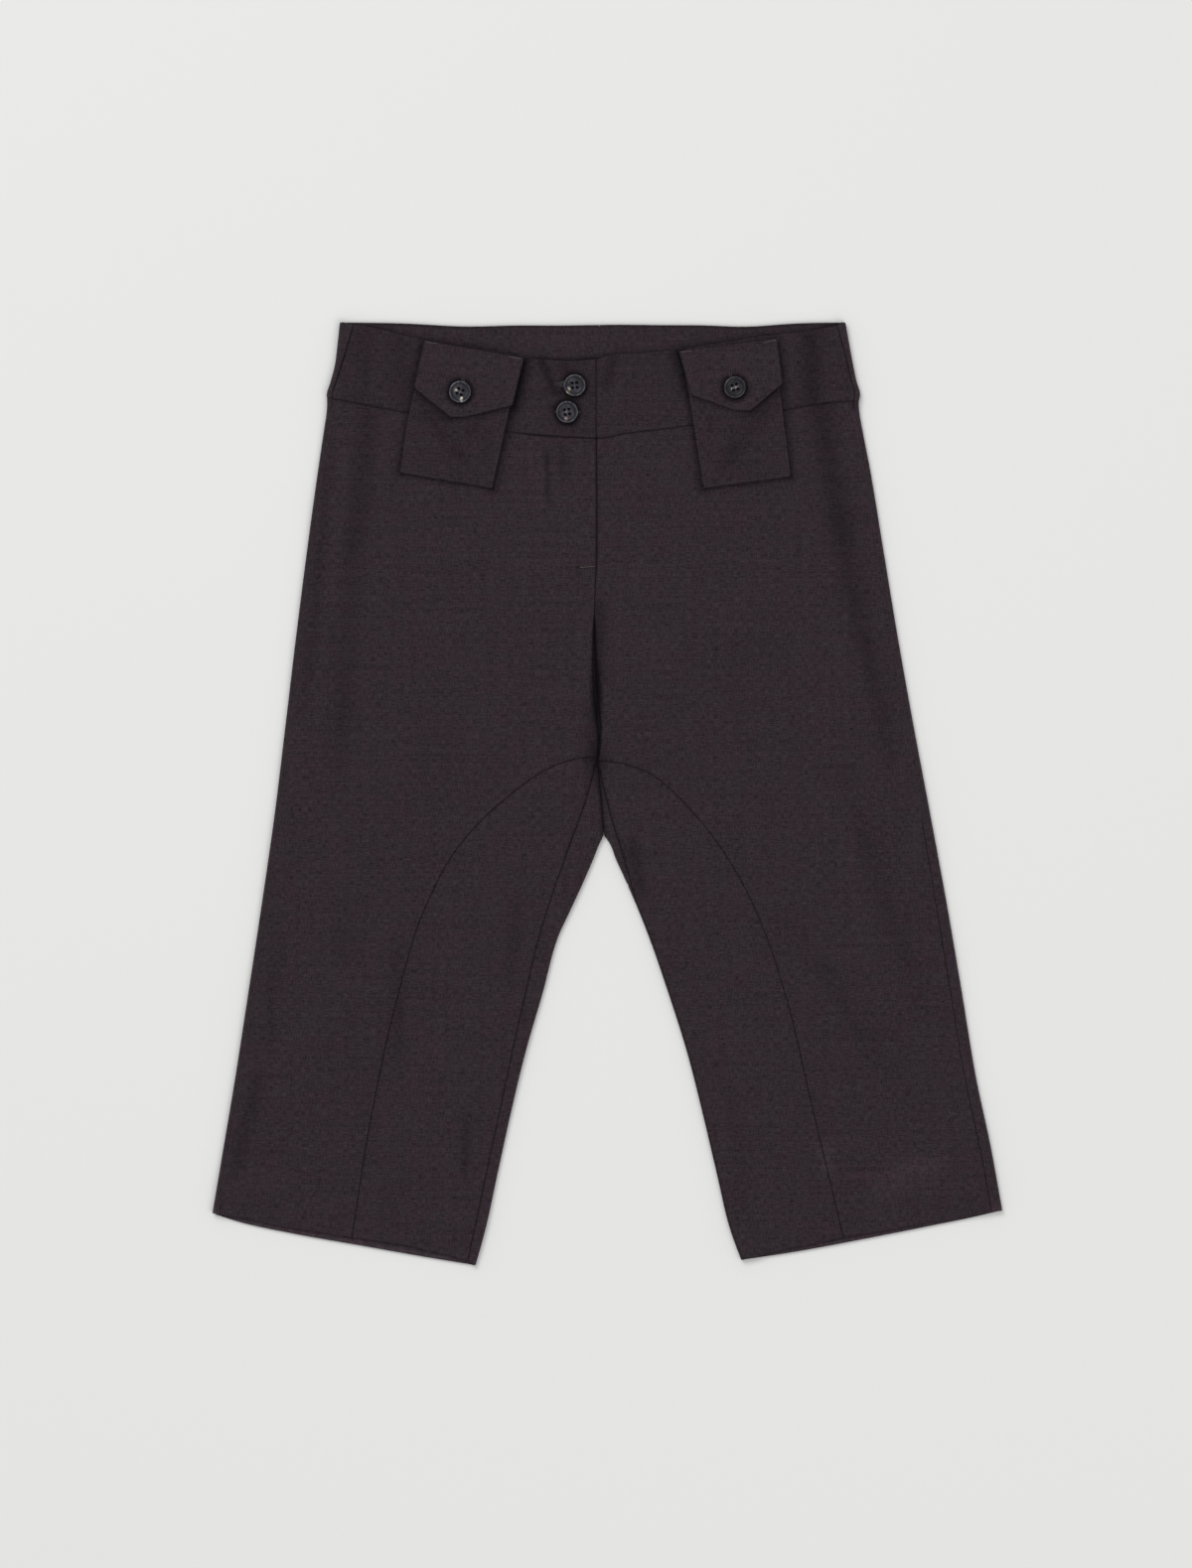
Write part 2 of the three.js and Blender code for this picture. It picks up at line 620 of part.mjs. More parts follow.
/** A back: the flat underside, its folded edges and the strips that show beside the seams. */
function backPanel(half) {
  const height = (point) => panelHeight(half, point);
  const innerTangent = ({ innerEdge, inward }) => movePoint(innerEdge, inward, FOLD_RADIUS);
  const hip = hipRows.map((row) => {
    const { fold, centreBack } = hipSection(half, row);
    const drop = row === 0 ? -SEAM_GAP / 2 : 0;
    const far = row === HIP_ROWS ? innerTangent(legSection(half, 0)) : shiftUp(centreBack, drop);
    return backSideRow(half, shiftUp(fold, drop), far);
  });
  const legs = legRows.slice(1).map((row) => {
    const section = legSection(half, row);
    return backSideRow(half, section.fold, innerTangent(section));
  });
  const main = [...hip, ...legs];
  const bent = bendOnto(half.backHem, main, main.length - 1, hemWeights());
  const straightEnds = bent.map((row, index) => [
    ...main[index].slice(0, 2),
    ...row.slice(2, -1),
    main[index].at(-1),
  ]);
  const inner = legRows.map((row) => backInnerRow(legSection(half, row), row));
  return clothWall(
    [sampleGrid(half, height, straightEnds), sampleGrid(half, height, inner)],
    panelThickness(half, half.backHem),
  );
}

// ---------------------------------------------------------------- fronts and thigh insets

/** Start of a front row at the side seam. */
function sideSeamPoint(half, fold, far) {
  return movePoint(fold, directionTo(fold, far), half.sideSeamInset.awayAt(fold.y) + SEAM_GAP / 2);
}

/** Plan points on top of the garment along a straight row. */
const straightRow = (start, end, columns) => steps(columns).map((share) => top(mixPoints(start, end, share)));

/** A front: from the side seam to the fly and crotch seam, then to the thigh seam, down to the hem. */
function frontPanel(half) {
  const height = (point) => panelHeight(half, point);
  const hip = hipRows.map((row) => {
    const { fold, centreBack, centreFront } = hipSection(half, row);
    const end = row === HIP_ROWS ? shiftUp(centreFront, SEAM_GAP / 2) : centreFront;
    return straightRow(sideSeamPoint(half, fold, centreBack), end, FRONT_COLUMNS);
  });
  const legs = legRows.slice(1).map((row) => {
    const { fold, innerEdge, thigh, thighOutward } = legSection(half, row);
    const end = movePoint(thigh, thighOutward, SEAM_GAP / 2);
    return straightRow(sideSeamPoint(half, fold, innerEdge), end, FRONT_COLUMNS);
  });
  const waistWeights = [...hipRows.map((row) => (1 - row / HIP_ROWS) ** WAIST_BEND), ...legs.map(() => 0)];
  const atWaist = bendOnto(half.waistSeam, [...hip, ...legs], 0, waistWeights, -SEAM_GAP / 2);
  const rows = bendOnto(half.frontHem, atWaist, atWaist.length - 1, hemWeights());
  const grids = [sampleGrid(half, height, rows)];
  if (!half.laps) grids.push(sampleGrid(half, height, underlapRows(rows)));
  return clothWall(grids, panelThickness(half, half.frontHem));
}

/** The fly underlap, cut in one with the left front and hidden below the right one. */
function underlapRows(rows) {
  return rows.slice(0, FLY_ROWS + 1).map((row) => {
    const edge = row.at(-1);
    return straightRow(edge, { away: -UNDERLAP_WIDTH, y: edge.y }, UNDERLAP_COLUMNS);
  });
}

/** Plan points of a thigh inset from the inseam to the thigh seam. */
function insetRow(section, row) {
  const { innerEdge, inward, inseam, inseamOutward, thigh, thighOutward } = section;
  const outerEnd = movePoint(thigh, thighOutward, -SEAM_GAP / 2);
  if (inseamOnFold(section)) {
    const firstTurn = inseamTurn(section, FOLD_SEAM_GAP / 2);
    const turns = steps(INSET_FOLD_STEPS).slice(0, -1);
    return [
      ...turns.map((share) => folded(innerEdge, inward, FOLD_RADIUS, lerp(firstTurn, Math.PI, share))),
      ...straightRow(movePoint(innerEdge, inward, FOLD_RADIUS), outerEnd, INSET_COLUMNS),
    ];
  }
  const innerEnd = movePoint(inseam, inseamOutward, SEAM_GAP / 2);
  if (row > 0) return straightRow(innerEnd, outerEnd, INSET_COLUMNS + INSET_FOLD_STEPS);
  const tip = shiftUp(innerEnd, -SEAM_GAP);
  return straightRow(tip, tip, INSET_COLUMNS + INSET_FOLD_STEPS);
}

/** A thigh inset: the curved panel between the thigh seam and the inseam. */
function thighInset(half) {
  const height = (point) => panelHeight(half, point);
  const rows = legRows.map((row) => insetRow(legSection(half, row), row));
  const weights = legRows.map((row) => legShare(row) ** HEM_BEND);
  const bent = bendOnto(half.frontHem, rows, rows.length - 1, weights);
  return clothWall([sampleGrid(half, height, bent)], panelThickness(half, half.frontHem));
}

// ---------------------------------------------------------------- waistband

/** A half of the back waistband: underside, side fold and the strip up to the side seam. */
function backBand(half) {
  const height = (point) => bandHeight(half, point);
  const topY = half.sideFold.samples[0].y;
  const rows = steps(BAND_ROWS).map((share) => {
    const edge = half.sideFold.pointAtHeight(lerp(topY, half.waistFoldY + SEAM_GAP / 2, share));
    const centre = {
      away: half.centreBack.samples[0].x + SEAM_GAP / 2,
      y: lerp(topY - BACK_TOP_DIP, half.centreBack.samples[0].y + SEAM_GAP / 2, share),
    };
    const inward = directionTo(edge, centre);
    const tangentPoint = movePoint(edge, inward, BAND_FOLD_RADIUS);
    const straight = movePoint(edge, inward, half.sideSeamInset.awayAt(edge.y) - SEAM_GAP / 2);
    const seam = shiftUp(straight, (half.bandTop.yAt(straight.away) - topY) * (1 - share));
    const turns = steps(FOLD_STEPS).reverse().slice(1);
    const flat = steps(BAND_BACK_COLUMNS).slice(1);
    return [
      top(seam),
      top(tangentPoint),
      ...turns.map((turnShare) => folded(edge, inward, BAND_FOLD_RADIUS, Math.PI * turnShare)),
      ...flat.map((across) => under(mixPoints(tangentPoint, centre, across))),
    ];
  });
  return clothWall([sampleGrid(half, height, rows)], BAND_CLOTH);
}

/** A half of the front waistband; the left one runs on below the right as the button stand. */
function frontBand(half) {
  const height = (point) => bandHeight(half, point);
  const end = half.laps ? 0 : -BUTTON_STAND;
  const rows = steps(BAND_ROWS).map((share) => {
    const foldY = lerp(half.sideFold.samples[0].y, half.waistFoldY, share);
    const start = half.sideFold.awayAt(foldY) - half.sideSeamInset.awayAt(foldY) - SEAM_GAP / 2;
    return steps(BAND_COLUMNS).map((across) => {
      const away = lerp(start, end, across);
      return top({ away, y: lerp(half.bandTop.yAt(away), half.waistSeam.yAt(away) + SEAM_GAP / 2, share) });
    });
  });
  return clothWall([sampleGrid(half, height, rows)], BAND_CLOTH);
}

// ---------------------------------------------------------------- pouch pockets

/** Height of the top face of a pocket layer that ends the given distance above the garment. */
const pocketHeight = (half, above) => (point) => frontHeight(half, point) + above;

const POUCH_BACK_TOP = POCKET.lift + POUCH_CLOTH;
const POUCH_FRONT_TOP = POUCH_BACK_TOP + SEAM_GAP + POUCH_CLOTH;
const FLAP_TOP = POUCH_FRONT_TOP + POCKET.swell + SEAM_GAP + FLAP_CLOTH;

/** One wall of a pouch, from below the flap's top edge to the foot. */
function pouchWall(half, topMargin, topHeight, swell) {
  const [outerTop, innerTop] = half.flap;
  const [outerFoot, innerFoot] = half.pouchFoot;
  const rows = steps(POCKET.rows).map((down) => {
    const start = topMargin / (outerTop.y - outerFoot.y);
    const share = lerp(start, 1, down);
    const bow = half.pouchBow * Math.sin(Math.PI * share);
    const margin = POCKET.sideMargin * (1 - share);
    const outer = movePoint(mixPoints(outerTop, outerFoot, share), { away: 1, y: 0 }, bow - margin);
    const inner = movePoint(mixPoints(innerTop, innerFoot, share), { away: 1, y: 0 }, margin);
    return steps(POCKET.columns).map((across) => {
      const downwards = Math.sin(Math.PI * Math.min(share, POCKET.swellToFoot));
      const fullness = swell * Math.sin(Math.PI * across) * lerp(POCKET.swellAtTop, 1, downwards);
      return sampleOf(half, pocketHeight(half, topHeight + fullness), top(mixPoints(outer, inner, across)));
    });
  });
  return clothWall([rows], POUCH_CLOTH);
}

/** The pointed flap, which closes over the pouch. */
function pocketFlap(half) {
  const [outerTop, innerTop, innerCorner, innerTip, outerTip, outerCorner] = half.flap;
  const lowerEdge = [
    outerCorner, mixPoints(outerCorner, outerTip, 0.5), outerTip, mixPoints(outerTip, innerTip, 0.5),
    innerTip, mixPoints(innerTip, innerCorner, 0.5), innerCorner,
  ];
  const height = pocketHeight(half, FLAP_TOP);
  const rows = steps(POCKET.flapRows).map((down) =>
    lowerEdge.map((low) => {
      const across = (outerCorner.away - low.away) / (outerCorner.away - innerCorner.away);
      return sampleOf(half, height, top(mixPoints(mixPoints(outerTop, innerTop, across), low, down)));
    }));
  return clothWall([rows], FLAP_CLOTH);
}

// ---------------------------------------------------------------- buttons

/** A manifold solid from a three.js geometry. */
function solidOf(geometry) {
  const bare = geometry.clone();
  bare.deleteAttribute('normal');
  bare.deleteAttribute('uv');
  const merged = BufferGeometryUtils.mergeVertices(bare, 1e-5);
  return new wasm.Manifold(new wasm.Mesh({
    numProp: 3,
    vertProperties: new Float32Array(merged.attributes.position.array),
    triVerts: new Uint32Array(merged.index.array),
  }));
}

/** A geometry from a manifold solid. */
function geometryOf(solid) {
  const mesh = solid.getMesh();
  const geometry = new THREE.BufferGeometry();
  geometry.setAttribute('position', new THREE.Float32BufferAttribute(Array.from(mesh.vertProperties), 3));
  geometry.setIndex(Array.from(mesh.triVerts));
  return geometry;
}

/** A four-hole button with a raised rim and a dished middle, its back on z = 0. */
function buttonGeometry() {
  const { radius, thickness, well, rim, bevel, holeRadius, holeOffset, holeSides } = BUTTON;
  const floor = thickness - well;
  const profile = [
    [0, 0],
    [radius - 2 * bevel, 0],
    [radius, bevel],
    [radius, thickness - bevel / 2],
    [radius - bevel / 2, thickness],
    [radius - rim, thickness],
    [radius - rim - well, floor],
    [0, floor],
  ].map(([across, up]) => new THREE.Vector2(across, up));
  const disc = new THREE.LatheGeometry(profile, BUTTON.sides).rotateX(Math.PI / 2);
  const drill = new THREE.CylinderGeometry(holeRadius, holeRadius, 4 * thickness, holeSides);
  drill.rotateX(Math.PI / 2);
  const holes = [[-1, -1], [-1, 1], [1, -1], [1, 1]].map(([right, up]) =>
    solidOf(drill.clone().translate(right * holeOffset, up * holeOffset, 0)));
  return geometryOf(holes.reduce((solid, cut) => solid.subtract(cut), solidOf(disc)));
}

// ---------------------------------------------------------------- the garment

const cloth = new THREE.MeshStandardMaterial({ color: 0x302a2e, roughness: 0.95, metalness: 0 });
const horn = new THREE.MeshStandardMaterial({ color: 0x1b1d23, roughness: 0.3, metalness: 0 });

const garment = new THREE.Group();

function add(name, geometry, material) {
  const mesh = new THREE.Mesh(geometry, material.clone());
  mesh.name = name;
  garment.add(mesh);
  return mesh;
}

/** Stands a button on a surface of a half. */
function addButton(name, half, point, surfaceHeight) {
  const button = add(name, buttonGeometry(), horn);
  const x = CENTRE_FRONT_X + half.sign * point.away;
  button.position.set(x, point.y, surfaceHeight(point) + BUTTON.clearance);
}

Object.entries(HALVES).forEach(([side, half]) => {
  add(`back_${side}`, backPanel(half), cloth);
  add(`front_${side}`, frontPanel(half), cloth);
  add(`thigh_inset_${side}`, thighInset(half), cloth);
  add(`waistband_back_${side}`, backBand(half), cloth);
  add(`waistband_front_${side}`, frontBand(half), cloth);
  add(`pocket_back_${side}`, pouchWall(half, POCKET.topMargin, POUCH_BACK_TOP, 0), cloth);
  add(`pocket_front_${side}`, pouchWall(half, POCKET.frontTopMargin, POUCH_FRONT_TOP, POCKET.swell), cloth);
  add(`pocket_flap_${side}`, pocketFlap(half), cloth);
  addButton(`button_pocket_${side}`, half, half.pocketButton, pocketHeight(half, FLAP_TOP));
});

WAIST_BUTTONS.forEach(({ name, away, y }) => {
  const half = HALVES.right;
  addButton(name, half, { away, y }, (point) => bandHeight(half, point));
});

export default garment;
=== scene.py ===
"""Cropped trousers laid flat, front side up, with two buttoned pouch pockets on the waistband.

Sizes are millimetres in the garment's own frame: X runs to the wearer's left, Y up the garment to
the waist and Z up off the floor. A point of the pattern is (away, y): its distance from the centre
front, and its height above the middle of the garment's length. Meshes are written in metres.
"""

import logging
import math
from dataclasses import dataclass, field
from enum import Enum
from typing import Callable, Optional, Sequence

import bpy
import numpy as np
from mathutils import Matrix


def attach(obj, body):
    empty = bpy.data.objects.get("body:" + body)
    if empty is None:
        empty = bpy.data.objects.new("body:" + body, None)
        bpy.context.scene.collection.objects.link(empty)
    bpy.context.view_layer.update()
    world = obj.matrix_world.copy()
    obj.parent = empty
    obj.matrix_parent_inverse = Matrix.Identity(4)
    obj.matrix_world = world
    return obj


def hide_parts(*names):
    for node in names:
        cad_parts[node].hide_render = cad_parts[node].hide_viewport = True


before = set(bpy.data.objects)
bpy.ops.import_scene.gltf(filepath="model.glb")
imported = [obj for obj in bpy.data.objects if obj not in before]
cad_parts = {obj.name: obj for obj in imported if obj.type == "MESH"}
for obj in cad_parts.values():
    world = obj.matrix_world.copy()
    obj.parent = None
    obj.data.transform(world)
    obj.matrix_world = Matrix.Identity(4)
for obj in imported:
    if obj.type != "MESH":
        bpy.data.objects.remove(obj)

log = logging.getLogger("trousers")

MM = 0.001
CENTRE_FRONT_X = -8.65
SEAM_GAP = 0.3
TAU = 2 * math.pi

Array = np.ndarray
Height = Callable[[Array, Array], Array]


# ---------------------------------------------------------------- small helpers


def lerp(low: Array, high: Array, share: Array) -> Array:
    """The value a share of the way from low to high."""
    return low + (high - low) * share


def smoothstep(value: Array, low: float, high: float) -> Array:
    """Nought below low and one above high, with a smooth S between."""
    share = np.clip((value - low) / (high - low), 0.0, 1.0)
    return share * share * (3.0 - 2.0 * share)


def bell(distance: Array, spread: float) -> Array:
    """One at distance nought, falling off as a Gauss curve."""
    return np.exp(-((distance / spread) ** 2))


def unit(vectors: Array) -> Array:
    """The vectors with length one."""
    return vectors / np.maximum(np.linalg.norm(vectors, axis=-1, keepdims=True), 1e-9)


def pair(away: Array, y: Array) -> Array:
    """Plan points from their two coordinates."""
    return np.stack(np.broadcast_arrays(away, y), axis=-1)


def distance_to(points: Array, line: Array) -> Array:
    """Distance of each point from a polyline: the least over its segments, each clamped to its ends.

    Args:
        points: points, in any number of dimensions along the last axis.
        line: the polyline's corners, with as many dimensions.

    Returns:
        One distance for each point.
    """
    flat = points.reshape(-1, points.shape[-1])
    nearest = np.full(len(flat), np.inf)
    for start, run in zip(line[:-1], np.diff(line, axis=0)):
        along = np.clip((flat - start) @ run / max(run @ run, 1e-12), 0.0, 1.0)
        nearest = np.minimum(nearest, np.linalg.norm(flat - start - along[:, None] * run, axis=1))
    return nearest.reshape(points.shape[:-1])


class PatternLine:
    """A smooth line of the laid pattern through the points (away, y) listed for it.

    Between two points it is a cubic whose slopes at the points are those of the parabola through
    each point and its neighbours, spaced by the chords between them.
    """

    SAMPLES = 400

    def __init__(self, points: Sequence[tuple[float, float]]) -> None:
        """Samples the line.

        Args:
            points: the points (away, y) along it.
        """
        knots = np.array(points, float)
        chord = np.linalg.norm(np.diff(knots, axis=0), axis=1)[:, None]
        secant = np.diff(knots, axis=0) / chord
        middle = secant[:-1] + secant[1:] - (knots[2:] - knots[:-2]) / (chord[:-1] + chord[1:])
        slope = np.vstack([secant[:1], middle, secant[-1:]])
        place = np.linspace(0, len(chord), self.SAMPLES + 1)
        index = np.minimum(place.astype(int), len(chord) - 1)
        t = (place - index)[:, None]
        start, end, step = knots[index], knots[index + 1], chord[index]
        cubic = (2 * t**3 - 3 * t**2 + 1) * start + (3 * t**2 - 2 * t**3) * end
        leaving = (t**3 - 2 * t**2 + t) * slope[index]
        self.points = cubic + step * (leaving + (t**3 - t**2) * slope[index + 1])
        run = np.linalg.norm(np.diff(self.points, axis=0), axis=1)
        self.reach = np.concatenate([[0.0], np.cumsum(run)])
        self.by_y = self.points[np.argsort(self.points[:, 1])]
        self.by_away = self.points[np.argsort(self.points[:, 0])]

    @classmethod
    def down(cls, rows: Sequence[tuple[float, float]]) -> "PatternLine":
        """A line that runs down the garment, from rows (y, away)."""
        return cls([(away, y) for y, away in rows])

    def away_at(self, y: Array) -> Array:
        """How far from the centre front the line is at a height, held at its ends."""
        return np.interp(y, self.by_y[:, 1], self.by_y[:, 0])

    def y_at(self, away: Array) -> Array:
        """How high the line is at a distance from the centre front, held at its ends."""
        return np.interp(away, self.by_away[:, 0], self.by_away[:, 1])

    def at(self, y: Array) -> Array:
        """Points of the line at the heights given."""
        return pair(self.away_at(y), y)

    def along(self, share: Array) -> Array:
        """Points at shares of the line's length."""
        reach = share * self.reach[-1]
        return pair(*(np.interp(reach, self.reach, self.points[:, axis]) for axis in (0, 1)))

    def outward_along(self, share: Array) -> Array:
        """Unit vectors across the line at shares of its length, turned towards the side fold."""
        step = 0.002
        run = self.along(np.minimum(share + step, 1)) - self.along(np.maximum(share - step, 0))
        return unit(pair(-run[..., 1], run[..., 0]))

    def outward_at(self, y: Array) -> Array:
        """The same at heights, for a line that runs down the leg."""
        run = self.at(y - 1.0) - self.at(y + 1.0)
        return unit(pair(-run[..., 1], run[..., 0]))


# ---------------------------------------------------------------- the laid pattern of each half


@dataclass(frozen=True)
class Crease:
    """A soft trough in the laid cloth along a straight run, or a ridge where the depth is negative."""

    start: tuple[float, float]
    end: tuple[float, float]
    width: float
    depth: float
    # Painted shade along the crease, or painted light where negative.
    shade: float = 0.0
    fade: float = 0.22

    def share_at(self, away: Array, y: Array) -> Array:
        """Share of the full depth at plan points: a bell across that dies away towards both ends."""
        run = np.subtract(self.end, self.start)
        length = math.hypot(*run)
        reach_away, reach_y = away - self.start[0], y - self.start[1]
        along = (reach_away * run[0] + reach_y * run[1]) / length**2
        across = (reach_away * run[1] - reach_y * run[0]) / length
        ends = smoothstep(along, 0, self.fade) * (1 - smoothstep(along, 1 - self.fade, 1))
        return ends * bell(across, self.width)

    def depth_at(self, away: Array, y: Array) -> Array:
        """Depth at plan points."""
        return self.depth * self.share_at(away, y)


def lightness(creases: Sequence[Crease], away: Array, y: Array) -> Array:
    """Painted shade and light at plan points: darker in troughs, lighter on ridges, as a factor on the
    colour.
    """
    total = np.ones(np.broadcast(away, y).shape)
    for crease in creases:
        total = total * (1 - crease.shade * crease.share_at(away, y))
    return total


@dataclass(frozen=True)
class Half:
    """The laid pattern of one half of the garment, with its lines in (away, y)."""

    side: str
    sign: int
    laps: bool
    side_fold: PatternLine
    side_seam_inset: PatternLine
    thigh_seam: PatternLine
    inseam: PatternLine
    inner_fold: PatternLine
    centre_front: PatternLine
    centre_back: PatternLine
    waist_seam: PatternLine
    band_top: PatternLine
    back_hem: PatternLine
    front_hem: PatternLine
    panel_creases: Sequence[Crease]
    band_creases: Sequence[Crease]
    under_creases: Sequence[Crease]
    pouch_creases: Sequence[Crease]
    flap: Sequence[tuple[float, float]]
    pouch_foot: Sequence[tuple[float, float]]
    pouch_bow: float
    pocket_button: tuple[float, float]
    # Heights and spreads of the painted shade in the deep fold along the crotch seam.
    fold_dark: Sequence[tuple[float, float]]

    @property
    def crotch(self) -> Array:
        """Top of the gap between the legs."""
        return self.inner_fold.points[0]

    @property
    def four_way(self) -> Array:
        """Where the crotch seam, the inseam and the thigh seam meet."""
        return self.inseam.points[0]

    @property
    def waist_fold_y(self) -> float:
        """Height of the waist seam on the side fold."""
        return float(self.waist_seam.points[np.argmax(self.waist_seam.points[:, 0]), 1])

    @property
    def hem_fold_y(self) -> float:
        """Height of the hem on the side fold."""
        return float(self.side_fold.points[-1, 1])

    def x(self, away: Array) -> Array:
        """The garment's X at a distance from the centre front."""
        return CENTRE_FRONT_X + self.sign * away

    def side_inward(self, y: Array) -> Array:
        """Unit plan vectors square to the side fold, pointing into the garment."""
        run = self.side_fold.at(y + 1.0) - self.side_fold.at(y - 1.0)
        return unit(pair(-run[..., 1], run[..., 0]))


RIGHT = Half(
    side="right",
    sign=-1,
    laps=True,
    side_fold=PatternLine.down([
        (362, 196.7), (347, 198.3), (328, 200.8), (316, 204), (306.5, 206.8), (300, 206.4),
        (291, 207.1), (281, 208.6), (259, 211.9), (190, 221.5), (121, 230.3), (53, 238.4),
        (-16, 246.8), (-85, 256.7), (-153, 267), (-221, 277.5), (-268, 285.4), (-322, 294.5),
    ]),
    side_seam_inset=PatternLine.down([
        (362, 10.6), (345, 7.8), (328, 5), (302, 4.4), (280, 4.2), (250, 3.9), (0, 3.9), (-200, 4),
        (-322, 5.4),
    ]),
    thigh_seam=PatternLine.down([
        (28, -1.2), (27.4, 13), (22.2, 30.5), (-5.5, 71.7), (-42.5, 107), (-87.5, 131.2),
        (-160.5, 153.5), (-256.5, 174), (-341, 187.4),
    ]),
    inseam=PatternLine.down([
        (28, -1.2), (-2.5, 7), (-46, 22.5), (-105, 42.4), (-166.5, 57.2), (-260, 77.5), (-358.5, 98.5),
    ]),
    inner_fold=PatternLine.down([
        (-31.4, -6), (-39, -2.4), (-50.5, 2.2), (-61.5, 6.9), (-91.5, 20.6), (-107, 27.9),
        (-153, 40.9), (-199, 54.2), (-244.5, 65.2), (-290.5, 75.3), (-336, 85.2), (-362, 92.4),
    ]),
    centre_front=PatternLine.down([
        (274, 0), (174.5, 0), (135, 1.3), (89, 0.8), (66, -0.8), (42.5, -3), (28, -1.2),
    ]),
    centre_back=PatternLine.down([(299.5, -2.3), (-30, -5.8)]),
    waist_seam=PatternLine([
        (0, 273), (31.5, 274.5), (67, 278), (106, 285.4), (145, 292.6), (168, 297), (187, 300.5),
        (207, 304),
    ]),
    band_top=PatternLine([
        (0, 333.6), (16, 332.1), (31.5, 332.6), (56.5, 335.2), (93.5, 341.5), (130, 347.8),
        (152, 353.2), (171, 358), (196, 361.6),
    ]),
    back_hem=PatternLine([
        (92.4, -362), (129, -356), (180, -347), (233.5, -337.5), (274, -328.7), (293.7, -322.5),
    ]),
    front_hem=PatternLine([
        (92.4, -360), (98.5, -358.5), (123.5, -352), (152.5, -345.6), (191, -340), (217.5, -335.8),
        (239.5, -332.6), (272.5, -325.4), (293.7, -322.3),
    ]),
    # A crease's shade is painted shade along it, or painted light where negative; a crease of depth nought
    # is painted shade alone.
    panel_creases=[
        Crease((173, 320), (187, 168), 9, 0.8, 0.25),
        Crease((183, 230), (201, -30), 9, 0.6, 0.19, 0.4),
        Crease((199, 305), (228, 20), 4.5, 0.4, 0.19, 0.35),
        Crease((194, 300), (206, 120), 5, -0.4, -0.07),
        Crease((241, -75), (257, -235), 8, 0.7, 0.1, 0.35),
        Crease((256, -205), (280, -302), 5.5, 0.5, 0.24),
        Crease((152, -100), (153, -215), 7, 0.6, 0.17),
        Crease((59, -66), (66, -160), 6, 0.5, 0.14, 0.3),
        Crease((98, -238), (102, -303), 3.5, 0.4, 0.27),
        Crease((27, 274), (23, 236), 4.2, 0.4, 0.27),
        Crease((37.4, 270), (36.6, 216), 1.5, 0.25, 0.5),
        Crease((120, 120), (132, -30), 16, 0.4, 0.05),
        Crease((0.5, 86), (-1.0, -8), 8.0, 0.0, 0.34, 0.3),
        Crease((172, -20), (196, -150), 12, 0.4, 0.05),
    ],
    band_creases=[
        Crease((47, 342), (28, 302), 3.4, 0.6, 0.45),
        Crease((30, 338), (20, 320), 4, 0.3, 0.18),
        Crease((20, 352), (22, 262), 22, 0.2, 0.13),
        Crease((150, 372), (149, 282), 9, 0.2, 0.19),
        Crease((178, 372), (180, 290), 12, 0.3, 0.12),
    ],
    under_creases=[
        Crease((70, 270), (95, 80), 18, 0.9),
        Crease((215, 40), (226, -130), 14, 0.8),
        Crease((120, -120), (170, -320), 16, 0.8),
    ],
    pouch_creases=[
        Crease((138, 300), (94, 248), 5, 0.5, 0.2),
        Crease((74, 306), (104, 270), 4.5, 0.4, 0.18),
        Crease((120, 262), (128, 240), 4, 0.3, 0.08),
        Crease((84, 285), (86, 245), 4, 0.3, 0.09),
    ],
    flap=[(131.5, 347.6), (55.5, 334.2), (64, 298), (100, 289), (111.5, 289), (139.6, 311.5)],
    pouch_foot=[(150.6, 246.5), (79.5, 234.5)],
    pouch_bow=2.6,
    pocket_button=(104.2, 308.2),
    fold_dark=[
        (28, 1.1), (34, 1.6), (45, 2.7), (61, 3.3), (76, 3.6), (91, 3.0), (106, 2.3), (122, 1.5),
        (140, 0.6),
    ],
)

